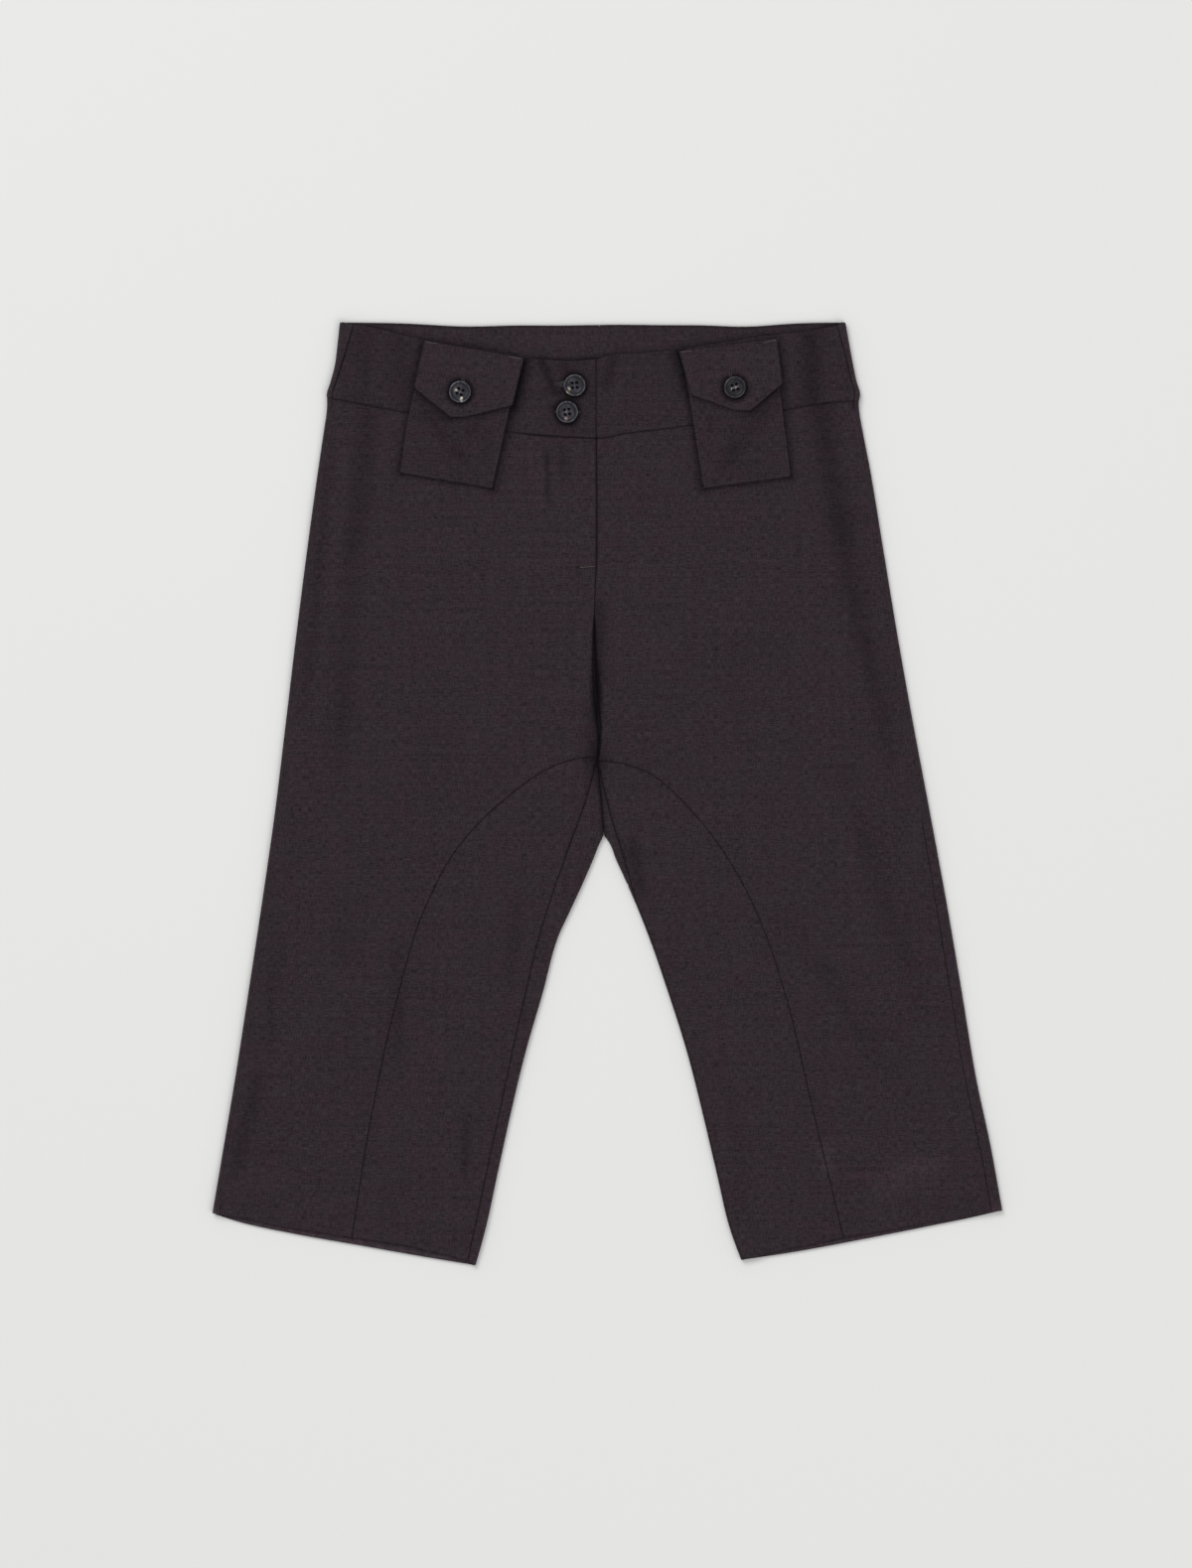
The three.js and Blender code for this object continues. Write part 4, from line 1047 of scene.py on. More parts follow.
@dataclass(frozen=True)
class Horn:
    """Polished dark horn, nearly black, with pale mottled patches."""

    name: str
    patches: Sequence[Patch]
    pale: Colour = (0.36, 0.31, 0.27)
    body: Colour = (0.0145, 0.0140, 0.0192)
    vein: Colour = (0.046, 0.044, 0.056)
    face_height: float = 2.1

    def make(self, centre: Array) -> bpy.types.Material:
        """Builds the material for a button.

        Args:
            centre: the button's middle, in millimetres.
        """
        nodes = Nodes(self.name)
        spot = nodes.add("ShaderNodeTexCoord", {}, {}, "Object")
        cloud = nodes.noise(nodes.stretched(spot, (420, 260, 300), turn=(0, 0, 0.6)), 1.0, 4.0, 0.6)
        ragged = nodes.noise(nodes.stretched(spot, (700, 700, 700)), 1.0, 3.0, 0.7)
        colour = nodes.mix(cloud.smooth(0.42, 0.72), rgba(self.body), rgba(self.vein))
        for patch in self.patches:
            middle = (centre[0] + patch.across, centre[1] + patch.up, centre[2] + self.face_height)
            local = nodes.stretched(
                spot, (1 / (patch.size * MM),) * 3, shift=tuple(-value / patch.size for value in middle)
            )
            reach = nodes.add("ShaderNodeVectorMath", {"operation": "LENGTH"}, {0: local}, "Value")
            inside = 1 - (reach + ragged * 1.6 - 0.8).smooth(0.2, 1.1)
            colour = nodes.mix(inside * patch.strength, colour, rgba(self.pale))
        # The shade attribute holds painted light and shade: a highlight on the rim, shade inside it and in
        # the holes, light in the middle. It scales the base colour.
        shade = nodes.add("ShaderNodeAttribute", {"attribute_name": "shade"}, {}, "Fac")
        shaded = nodes.add("ShaderNodeVectorMath", {"operation": "SCALE"}, {0: colour, 3: shade})
        nodes.shader({
            "Base Color": shaded,
            "Roughness": 1 - shade.smooth(0.05, 0.5) * (0.78 - cloud * 0.12),
            "Specular IOR Level": 0.3,
            "Normal": nodes.bump(ragged, 0.02, 0.4),
        })
        return nodes.material


@dataclass(frozen=True)
class Thread:
    """Twisted sewing thread."""

    name: str
    colour: Colour
    lustre: float = 0.55

    def make(self) -> bpy.types.Material:
        """Builds the material: fine twist lines and a slight change of tone."""
        nodes = Nodes(self.name)
        spot = nodes.add("ShaderNodeTexCoord", {}, {}, "Object")
        tone = nodes.noise(nodes.stretched(spot, (900, 900, 900)), 1.0, 2.0, 0.6)
        low = tuple(0.7 * channel for channel in self.colour)
        high = tuple(min(1.0, 1.3 * channel) for channel in self.colour)
        nodes.shader({
            "Base Color": nodes.mix(tone.smooth(0.3, 0.7), rgba(low), rgba(high)),
            "Roughness": tone * 0.2 + self.lustre - 0.1,
            "Specular IOR Level": 0.3,
            "Normal": nodes.bump(tone, 0.05, 0.5),
        })
        return nodes.material


@dataclass(frozen=True)
class Floor:
    """A plain pale floor."""

    name: str = "pale_floor"
    colour: Colour = (0.80, 0.80, 0.79)

    def make(self) -> bpy.types.Material:
        """Builds the material."""
        nodes = Nodes(self.name)
        nodes.shader({"Base Color": rgba(self.colour), "Roughness": 0.95, "Specular IOR Level": 0.0})
        return nodes.material


# ---------------------------------------------------------------- what every piece goes through


class Slot(Enum):
    """The record's material slots."""

    SUITING = "suiting"
    BUTTON = "button"


class Wardrobe:
    """Gives each piece its finish, its place in the frame and a line in the log."""

    def __init__(self) -> None:
        """Makes the shared finishes."""
        self.suiting = Suiting().make()
        self.dark_thread = Thread("dark_thread", (0.009, 0.007, 0.008)).make()
        self.mid_thread = Thread("mid_thread", (0.056, 0.043, 0.049)).make()
        self.light_thread = Thread("light_thread", (0.11, 0.088, 0.092)).make()

    def hand_over(
        self,
        piece: bpy.types.Object,
        material: bpy.types.Material,
        slot: Slot,
        nodes: Sequence[str] = (),
    ) -> bpy.types.Object:
        """Dresses a piece and rides it on the one body.

        Args:
            piece: the object.
            material: its finish.
            slot: not used.
            nodes: the frame's nodes that it stands for.

        Returns:
            The piece.
        """
        piece.data.materials.clear()
        piece.data.materials.append(material)
        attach(piece, "root")
        if nodes:
            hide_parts(*nodes)
        log.info("%s: %d faces", piece.name, len(piece.data.polygons))
        return piece

    def cut(
        self,
        cloth: Cloth,
        node: str,
        cut_size: tuple[float, float],
        area: float,
        rests_on: Sequence[str],
    ) -> bpy.types.Object:
        """Builds a cut piece of cloth and hands it over.

        Args:
            cloth: the piece.
            node: the node it stands for, or nothing.
            cut_size: the flat cut's width and length in millimetres.
            area: the flat cut's area in square millimetres.
            rests_on: not used.

        Returns:
            The piece.
        """
        piece = self.hand_over(cloth.build(), self.suiting, Slot.SUITING, [node] if node else [])
        width, length = (size * MM for size in cut_size)
        area * MM * MM
        return piece


def grid_area(points: Array) -> float:
    """Area of a grid: half the cross product of the diagonals of each cell, summed."""
    first = points[1:, 1:] - points[:-1, :-1]
    second = points[1:, :-1] - points[:-1, 1:]
    return float(np.linalg.norm(np.cross(first, second), axis=-1).sum() / 2)


def cloth_of(half: Half, plan: Array) -> Array:
    """The cloth's own coordinates at plan points, the same way round on both halves."""
    return pair(half.sign * plan[..., 0], plan[..., 1])


def cut_of(grids: Sequence[Grid]) -> tuple[tuple[float, float], float]:
    """Size of the flat cut of a piece: the box of its cloth coordinates, and its area."""
    cloth = np.concatenate([grid.cloth.reshape(-1, 2) for grid in grids])
    width, length = np.ptp(cloth, axis=0)
    flat = [np.concatenate([grid.cloth, 0 * grid.cloth[..., :1]], axis=-1) for grid in grids]
    area = sum(grid_area(points) for points in flat)
    return (float(width), float(length)), min(area, width * length)


# ---------------------------------------------------------------- the legs


@dataclass
class Legs:
    """The backs, fronts and thigh insets of both legs."""

    wardrobe: Wardrobe
    fold_radius: float = 2.6
    thickness: float = 0.8
    hip_rows: int = 64
    leg_rows: int = 122
    split_y: float = 150.0
    back_split_y: float = 34.0
    front_columns: int = 74
    inset_columns: int = 40
    under_columns: int = 52
    fold_steps: int = 12
    strip_columns: int = 8
    row_crowding: float = 1.25
    inner_crowding: float = 1.5
    crotch_share: float = 0.11
    inseam_at_edge: float = 0.9
    fold_seam_gap: float = 0.42
    hem_bend: int = 6
    waist_bend: int = 3

    def build(self) -> None:
        """Builds every piece of both legs."""
        for half in (RIGHT, LEFT):
            self.back(half)
            self.front(half)
            self.inset(half)

    # -- shared lines

    def panel(self, half: Half) -> Height:
        """The height function of a half's panels."""
        return lambda away, y: LIE.panel_height(half, away, y)

    def wall(self, half: Half, hem: PatternLine) -> Callable[[Array], Array]:
        """Thickness of a panel, thicker inside the turned hem."""

        def thickness(points: Array) -> Array:
            """The wall at points."""
            away = (points[:, 0] - CENTRE_FRONT_X) * half.sign
            return self.thickness + LIE.hem_thickening(points[:, 1] - hem.y_at(away))

        return thickness

    def light(self, half: Half) -> Callable[[Array], Array]:
        """Painted shade and light on a panel's cloth, on its upper side alone."""

        def lightness_at(points: Array) -> Array:
            """The painted shade and light at points."""
            away = (points[:, 0] - CENTRE_FRONT_X) * half.sign
            upper = smoothstep(points[:, 2], 1.2, 2.0)
            return lerp(1.0, LIE.panel_lightness(half, away, points[:, 1]), upper)

        return lightness_at

    def leg_shares(self) -> Array:
        """Shares of the leg's length at its rows, close together at the crotch and at the hem."""
        even = crowded(440.0, self.leg_rows, start=False)[0]
        return even ** lerp(self.row_crowding, 1.0, even)

    def section(self, half: Half, share: Array) -> dict[str, Array]:
        """The lines that the leg's rows cross, with unit vectors across them."""
        crotch_y, hem_y = half.crotch[1], half.back_hem.points[0, 1]
        inner_y = lerp(crotch_y, hem_y, share**self.inner_crowding)
        lead = np.maximum(0, 1 - share / self.crotch_share) ** 2
        rise = (half.four_way[1] - crotch_y) * lead + (half.inseam.points[-1, 1] - hem_y) * share
        across = half.inner_fold.outward_at(inner_y)
        turned = smoothstep(share, 0, self.crotch_share)
        inward = unit(pair(across[:, 0] * turned, lerp(1.0, across[:, 1], turned)))
        edge = half.inner_fold.at(inner_y)
        edge[:, 0] = np.maximum(edge[:, 0], half.crotch[0] + SEAM_GAP / 2)
        inseam = half.inseam.at(inner_y + rise)
        depth = np.maximum(self.inseam_at_edge, np.linalg.norm(inseam - edge, axis=1))
        return {
            "edge": edge,
            "inward": inward,
            "inseam": inseam,
            "inseam_out": half.inseam.outward_at(inner_y + rise),
            "depth": depth,
            "on_fold": depth < self.fold_radius + 2 * SEAM_GAP,
        }

    def inseam_turn(self, depth: Array, shift: float) -> Array:
        """How far round the inner fold the inseam lies, moved in from the edge by a shift."""
        clear = np.minimum(depth, self.fold_radius - SEAM_GAP) + shift
        return math.pi / 2 + np.arccos(1 - clear / self.fold_radius)

    def folded(self, half: Half, edge: Array, inward: Array, turn: Array) -> Array:
        """Points round a fold whose section is half an ellipse.

        It starts flat on the floor, passes the edge at a quarter turn, and at half a turn is level
        with the cloth on top: x moves in by radius (1 - sin turn), z is half the height (1 - cos turn).
        """
        tangent = edge + inward * self.fold_radius
        middle = LIE.panel_height(half, tangent[..., 0], tangent[..., 1]) / 2
        plan = edge[:, None] + inward[:, None] * (self.fold_radius * (1 - np.sin(turn)))[..., None]
        return place(half, plan, middle[:, None] * (1 - np.cos(turn)))

    # -- pieces

    def back(self, half: Half) -> None:
        """A back: its flat underside, its folded edges and the strips that show beside the seams."""
        shares = self.leg_shares()
        hips = crowded(330.0, self.hip_rows, end=False)[0]
        section = self.section(half, shares)
        top_y = half.waist_fold_y - SEAM_GAP / 2
        fold_y = np.concatenate([
            lerp(top_y, self.back_split_y, hips),
            lerp(self.back_split_y, half.hem_fold_y, shares[1:]),
        ])
        back_seam_y = half.centre_back.points[0, 1] - SEAM_GAP / 2
        centre_y = lerp(back_seam_y, half.crotch[1] + self.fold_radius, hips)
        centre_away = lerp(half.centre_back.points[0, 0], half.crotch[0], hips) + SEAM_GAP / 2
        tangent = section["edge"] + section["inward"] * self.fold_radius
        far = np.vstack([pair(centre_away, centre_y)[:-1], tangent])
        edge, inward = half.side_fold.at(fold_y), half.side_inward(fold_y)
        inset = half.side_seam_inset.away_at(fold_y) - SEAM_GAP / 2
        strip = crowded(inset - self.fold_radius, 3, end=False)
        strip_reach = lerp(inset[:, None], self.fold_radius, strip)
        strip_plan = edge[:, None] + inward[:, None] * strip_reach[..., None]
        turn = np.linspace(math.pi, 0, self.fold_steps + 1)[1:-1]
        turns = np.broadcast_to(turn, (len(edge), len(turn)))
        start = edge + inward * self.fold_radius
        span = np.linalg.norm(far - start, axis=1)
        under = crowded(span, self.under_columns, start=False)
        under_plan = start[:, None] + (far - start)[:, None] * under[..., None]
        rows = np.concatenate([hips * 0, shares[1:] ** self.hem_bend])
        offset = half.back_hem.y_at(under_plan[-1, :, 0]) - under_plan[-1, :, 1]
        offset[-1] = 0
        under_plan[..., 1] += rows[:, None] * offset
        points = np.concatenate([
            raised(half, strip_plan, self.panel(half)),
            self.folded(half, edge, inward, turns),
            raised(half, under_plan, lambda away, y: LIE.under_height(half, away, y)),
        ], axis=1)
        arc = math.pi / 2 * self.fold_radius * 1.1
        round_side = pair(self.fold_radius - arc * (1 - turns / math.pi), 0 * turns)
        flat_out = pair(2 * self.fold_radius - strip_reach - 2 * arc - self.fold_radius, 0 * strip_reach)
        bent_cloth = start[:, None] - inward[:, None] * 0
        side_cloth = np.concatenate([
            bent_cloth + inward[:, None] * (flat_out[..., :1] - self.fold_radius),
            bent_cloth + inward[:, None] * (round_side[..., :1] - self.fold_radius),
            under_plan,
        ], axis=1)
        main = Grid(points, cloth_of(half, side_cloth), flip=half.sign > 0)
        inner = self.back_inner(half, section)
        centre_seam = main.points[: len(hips), -1]
        seams = [main.points[0], centre_seam, inner.points[0], inner.points[:, -1]]
        hems = [main.points[-1], inner.points[-1]]
        edges = [Edge(line) for line in seams] + [self.hem_edge(line) for line in hems]
        # Painted light on the inside of the back's hem, where the front hem above shades it.
        edges.append(Edge(hems[0], radius=0.01, depth=0.0, shade=-0.7, shade_spread=3.2))
        # Painted shade along the centre back seam, from the fork to the crotch.
        seat = place(half, np.array([half.four_way + (0, 3), half.crotch]), np.zeros(2))
        edges.append(Edge(seat, radius=0.01, depth=0.0, shade=0.62, shade_spread=2.2, in_plan=True))
        edges.append(self.side_edge(main.points[:, 0], half))
        name = f"back_panel_{half.side}"
        cloth = Cloth(name, [main, inner], edges, self.wall(half, half.back_hem), self.light(half))
        self.wardrobe.cut(cloth, f"back_{half.side}", *cut_of([main, inner]), rests_on=[])

    def side_edge(self, line: Array, half: Half) -> Edge:
        """The side seam, pressed open and hardly sunk."""
        return Edge(line, radius=0.4, depth=0.02, shade=0.02 if half.laps else 0.05, shade_spread=0.7)

    def hem_edge(self, line: Array) -> Edge:
        """The turned edge of a hem, rounder than a seam and hardly shaded."""
        return Edge(line, radius=0.65, depth=0.0, shade=0.08)

    def back_inner(self, half: Half, section: dict[str, Array]) -> Grid:
        """A back from the floor round the inner fold and up to the inseam on top."""
        edge, inward, inseam = section["edge"], section["inward"], section["inseam"]
        seam = inseam - section["inseam_out"] * SEAM_GAP / 2
        seam[0] = inseam[0] + (SEAM_GAP / 2, -1.0)
        steps = self.fold_steps + 1
        turns = np.broadcast_to(np.linspace(0, math.pi, steps), (len(edge), steps))
        tangent = edge + inward * self.fold_radius
        span = np.linalg.norm(seam - tangent, axis=1)
        strip = crowded(span, self.strip_columns, start=False)[:, 1:]
        strip_plan = tangent[:, None] + (seam - tangent)[:, None] * strip[..., None]
        flat = np.concatenate([
            self.folded(half, edge, inward, turns), raised(half, strip_plan, self.panel(half)),
        ], axis=1)
        columns = flat.shape[1]
        last = self.inseam_turn(section["depth"], -self.fold_seam_gap / 2)
        even = columns - len(EDGE_STEPS)
        fold_turns = last[:, None] * crowded(last * self.fold_radius, even, start=False)
        rounded = self.folded(half, edge, inward, fold_turns)
        points = np.where(section["on_fold"][:, None, None], rounded, flat)
        plan = pair((points[..., 0] - CENTRE_FRONT_X) * half.sign, points[..., 1])
        return Grid(points, cloth_of(half, plan), flip=half.sign > 0)

    def front(self, half: Half) -> None:
        """A front: from the side seam to the fly and crotch seam, then to the thigh seam."""
        hips = crowded(246.0, self.hip_rows, end=False)[0]
        legs = crowded(440.0, self.leg_rows, start=False)[0][1:]
        front_y = lerp(half.centre_front.points[0, 1], half.four_way[1], hips)
        gap = np.where(front_y > LIE.fly_end_y - 1, 0, SEAM_GAP / 2)
        centre = pair(half.centre_front.away_at(front_y) + gap, front_y)
        centre[-1, 1] += SEAM_GAP / 2
        thigh = half.thigh_seam.along(legs) + half.thigh_seam.outward_along(legs) * SEAM_GAP / 2
        fold_y = np.concatenate([
            lerp(half.waist_fold_y, self.split_y, hips), lerp(self.split_y, half.hem_fold_y, legs),
        ])
        inset = half.side_seam_inset.away_at(fold_y) + SEAM_GAP / 2
        start = half.side_fold.at(fold_y) + half.side_inward(fold_y) * inset[:, None]
        end = np.vstack([centre, thigh])
        span = np.linalg.norm(end - start, axis=1)
        shares = crowded(span, self.front_columns)
        plan = start[:, None] + (end - start)[:, None] * shares[..., None]
        waist = np.concatenate([(1 - hips) ** self.waist_bend, 0 * legs])
        offset = half.waist_seam.y_at(plan[0, :, 0]) - SEAM_GAP / 2 - plan[0, :, 1]
        plan[..., 1] += waist[:, None] * offset
        hem = np.concatenate([0 * hips, legs**self.hem_bend])
        offset = half.front_hem.y_at(plan[-1, :, 0]) - plan[-1, :, 1]
        plan[..., 1] += hem[:, None] * offset
        height = self.panel(half)
        main = Grid(raised(half, plan, height), cloth_of(half, plan), flip=half.sign < 0)
        grids = [main]
        sewn = front_y < LIE.fly_end_y
        below_fly = np.vstack([main.points[: len(hips)][sewn, -1], main.points[len(hips) :, -1]])
        fly = main.points[: len(hips)][~sewn, -1]
        waist = Edge(main.points[0], shade=0.42)
        edges = [waist, Edge(below_fly), self.hem_edge(main.points[-1])]
        edges.append(self.side_edge(main.points[:, 0], half))
        if half.laps:
            edges.append(Edge(fly, radius=0.75, depth=0.1, shade=0.5, shade_spread=0.9))
        else:
            under = self.underlap(half, plan[: len(hips)][~sewn, -1])
            grids.append(under)
            edges.append(Edge(fly, radius=0.01, depth=0.0, shade=0.7, shade_spread=1.1))
        edges += pocket_shadow(half)
        name = f"front_panel_{half.side}"
        cloth = Cloth(name, grids, edges, self.wall(half, half.front_hem), self.light(half))
        lies_on = f"back_panel_{half.side}"
        self.wardrobe.cut(cloth, f"front_{half.side}", *cut_of(grids), rests_on=[lies_on])

    def underlap(self, half: Half, edge: Array) -> Grid:
        """The fly underlap, cut in one with the left front and hidden below the right one."""
        share = np.linspace(0, 1, 9)[None, :, None]
        far = pair(np.full(len(edge), -LIE.underlap_width), edge[:, 1])
        plan = lerp(edge[:, None], far[:, None], share)
        return Grid(raised(half, plan, self.panel(half)), cloth_of(half, plan), flip=half.sign < 0)

    def inset(self, half: Half) -> None:
        """A thigh inset: the curved panel between the thigh seam and the inseam."""
        shares = self.leg_shares()
        section = self.section(half, shares)
        outer = half.thigh_seam.along(shares) - half.thigh_seam.outward_along(shares) * SEAM_GAP / 2
        inner = section["inseam"] + section["inseam_out"] * SEAM_GAP / 2
        inner[0] = outer[0] = section["inseam"][0] - (0, SEAM_GAP)
        outer[0] = inner[0]
        edge, inward = section["edge"], section["inward"]
        tangent = edge + inward * self.fold_radius
        first = self.inseam_turn(section["depth"], self.fold_seam_gap / 2)
        round_steps = 8
        turns = lerp(first[:, None], math.pi, np.linspace(0, 1, round_steps + 1)[None, :-1])
        begin = np.where(section["on_fold"][:, None], tangent, inner)
        plan = self.spread(begin, outer, self.inset_columns, crowd_start=False)
        spare = plan.shape[1] + round_steps - 2 * len(EDGE_STEPS) + 1
        straight = self.spread(inner, outer, spare)
        weight = shares**self.hem_bend
        for points in (plan, straight):
            offset = half.front_hem.y_at(points[-1, :, 0]) - points[-1, :, 1]
            points[..., 1] += weight[:, None] * offset
        on_fold = np.concatenate([
            self.folded(half, edge, inward, turns), raised(half, plan, self.panel(half)),
        ], axis=1)
        flat = raised(half, straight, self.panel(half))
        points = np.where(section["on_fold"][:, None, None], on_fold, flat)
        seen = pair((points[..., 0] - CENTRE_FRONT_X) * half.sign, points[..., 1])
        grid = Grid(points, cloth_of(half, seen), flip=half.sign > 0)
        edges = [Edge(grid.points[:, 0]), Edge(grid.points[:, -1]), self.hem_edge(grid.points[-1])]
        # Painted shade along the start of the inseam below the fork.
        begun = grid.points[: int(0.2 * len(grid.points)), 0]
        edges.append(Edge(begun, radius=0.01, depth=0.0, shade=0.3, shade_spread=1.6))
        name = f"thigh_panel_{half.side}"
        cloth = Cloth(name, [grid], edges, self.wall(half, half.front_hem), self.light(half))
        lies_on = f"back_panel_{half.side}"
        self.wardrobe.cut(cloth, f"thigh_inset_{half.side}", *cut_of([grid]), rests_on=[lies_on])

    @staticmethod
    def spread(begin: Array, finish: Array, count: int, crowd_start: bool = True) -> Array:
        """Plan points on straight rows.

        Args:
            begin: where each row starts.
            finish: where it ends.
            count: how many even steps lie between its crowded ends.
            crowd_start: whether the points crowd at the start as well as at the end.

        Returns:
            Plan points (rows, columns, 2).
        """
        span = np.linalg.norm(finish - begin, axis=1)
        share = crowded(span, count, start=crowd_start)
        return begin[:, None] + (finish - begin)[:, None] * share[..., None]


# ---------------------------------------------------------------- the waistband


@dataclass
class Waistband:
    """The waistband: two back halves, two front halves and the facing inside the back."""

    wardrobe: Wardrobe
    fold_radius: float = 3.2
    thickness: float = 1.8
    back_top_dip: float = 1.5
    rows: int = 34
    front_columns: int = 116
    back_columns: int = 44
    fold_steps: int = 12
    facing_thickness: float = 0.45
    facing_lift: float = 0.1
    facing_inset: float = 1.3
    facing_foot: float = 309.0
    facing_top: float = 362.0
    facing_width: float = 50.0
    width: float = 57.0
    stand_columns: int = 12
    closed_share: float = 0.6

    # Middle, spread and depth of the dips in the top edge, on the right and on the left.
    TOP_DIPS = (((-108, 36, 2.3), (-42, 34, 1.0)), ((106, 30, 2.5), (50, 34, 0.9)))

    def build(self) -> None:
        """Builds every piece of the waistband."""
        for half in (RIGHT, LEFT):
            self.back(half)
            self.front(half)
        self.facing()

    def back(self, half: Half) -> None:
        """Half of the back band: its underside, its side fold and the strip up to the side seam."""
        top_y = half.side_fold.points[0, 1]
        share = crowded(self.width, self.rows)[0]
        seam_y = half.centre_back.points[0, 1] + SEAM_GAP / 2
        edge = half.side_fold.at(lerp(top_y, half.waist_fold_y + SEAM_GAP / 2, share))
        centre = pair(
            half.centre_back.points[0, 0] + SEAM_GAP / 2, lerp(top_y - self.back_top_dip, seam_y, share)
        )
        inward = unit(centre - edge)
        tangent = edge + inward * self.fold_radius
        inset = half.side_seam_inset.away_at(edge[:, 1]) - SEAM_GAP / 2
        straight = edge + inward * inset[:, None]
        seam = straight.copy()
        seam[:, 1] += (half.band_top.y_at(straight[:, 0]) - top_y) * (1 - share)
        strip = lerp(seam[:, None], tangent[:, None], crowded(inset, 3, end=False)[..., None])
        turn = np.linspace(math.pi, 0, self.fold_steps + 1)[1:-1]
        turn = np.broadcast_to(turn, (len(edge), self.fold_steps - 1))
        middle = LIE.band_height(half, tangent[:, 0], tangent[:, 1]) / 2
        bend = edge[:, None] + inward[:, None] * (self.fold_radius * (1 - np.sin(turn)))[..., None]
        span = np.linalg.norm(centre - tangent, axis=1)
        inwards = crowded(span, self.back_columns, start=False)[..., None]
        under = tangent[:, None] + (centre - tangent)[:, None] * inwards
        points = np.concatenate([
            raised(half, strip, lambda away, y: LIE.band_height(half, away, y)),
            place(half, bend, middle[:, None] * (1 - np.cos(turn))),
            place(half, under, np.zeros(under.shape[:2])),
        ], axis=1)
        points[..., 1] -= self.sag(points[..., 0]) * (1 - share[:, None]) ** 3
        reach = np.zeros(points.shape[:2])
        reach[:, 1:] = np.cumsum(np.linalg.norm(np.diff(points, axis=1), axis=-1), axis=1)
        cloth = pair(reach, (share * -self.width)[:, None])
        grid = Grid(points, cloth, flip=half.sign > 0)
        edges = [Edge(points[-1]), Edge(points[:, -1]), self.top_edge(points[0])]
        edges += self.side_seam(points[:, 0])
        piece = Cloth(f"back_band_{half.side}", [grid], edges, even_wall(self.thickness))
        node = f"waistband_back_{half.side}"
        self.wardrobe.cut(piece, node, *cut_of([grid]), rests_on=[f"back_panel_{half.side}"])

    def sag(self, x: Array) -> Array:
        """How far the top edge sags below a straight line, in a deep and a shallow dip on each half."""
        return sum(
            sum(depth * bell(x - middle, spread) for middle, spread, depth in dips)
            for dips in self.TOP_DIPS
        )

    def side_seam(self, line: Array) -> list[Edge]:
        """The band's side seam, which closes up towards the waist seam: its upper part sinks a little
        deeper and has more painted shade.
        """
        upper = line[: int(self.closed_share * len(line))]
        return [
            Edge(line, radius=0.4, depth=0.02, shade=0.03, shade_spread=0.7),
            Edge(upper, radius=0.42, depth=0.06, shade=0.18, shade_spread=0.8),
        ]

    def top_edge(self, line: Array) -> Edge:
        """The folded top edge of the band, with a little painted light on its turn."""
        return Edge(line, radius=0.9, depth=0.0, shade=-0.1)

    def front(self, half: Half) -> None:
        """Half of the front band; the left one runs on below the right as the button stand."""
        end = 0.0 if half.laps else -LIE.button_stand
        share = crowded(self.width, self.rows)[0]
        fold_y = lerp(half.side_fold.points[0, 1], half.waist_fold_y, share)
        start = half.side_fold.away_at(fold_y) - half.side_seam_inset.away_at(fold_y) - SEAM_GAP / 2
        columns = self.front_columns + (0 if half.laps else self.stand_columns)
        across = crowded(start - end, columns)
        away = lerp(start[:, None], end, across)
        y = lerp(half.band_top.y_at(away), half.waist_seam.y_at(away) + SEAM_GAP / 2, share[:, None])
        plan = pair(away, y)
        points = raised(half, plan, lambda a, b: LIE.band_height(half, a, b))
        grid = Grid(points, pair(half.sign * away, y), flip=half.sign < 0)
        front_edge = Edge(points[:, -1], radius=0.9, depth=0.0, shade=0.34, shade_spread=1.0)
        edges = [self.top_edge(points[0]), Edge(points[-1], shade=0.42), front_edge]
        edges += self.side_seam(points[:, 0]) + pocket_shadow(half)
        if half.laps:
            edges += [button_shadow(half, spot) for _, spot in WAIST_BUTTONS]
            # Painted shade in the mouth of the upper buttonhole.
            mouth = place(half, np.array([(28.6, 314.3), (25.0, 314.2)]), np.zeros(2))
            edges.append(Edge(mouth, radius=0.01, depth=0.0, shade=0.7, shade_spread=1.3, in_plan=True))

        def light(found: Array) -> Array:
            """Painted shade and light on the band at points, from its creases, times 0.95."""
            away = (found[:, 0] - CENTRE_FRONT_X) * half.sign
            return 0.95 * lightness(half.band_creases, away, found[:, 1])

        piece = Cloth(f"front_band_{half.side}", [grid], edges, even_wall(self.thickness), light)
        node = f"waistband_front_{half.side}"
        lies_on = [f"front_panel_{half.side}", f"back_band_{half.side}"]
        self.wardrobe.cut(piece, node, *cut_of([grid]), rests_on=lies_on)

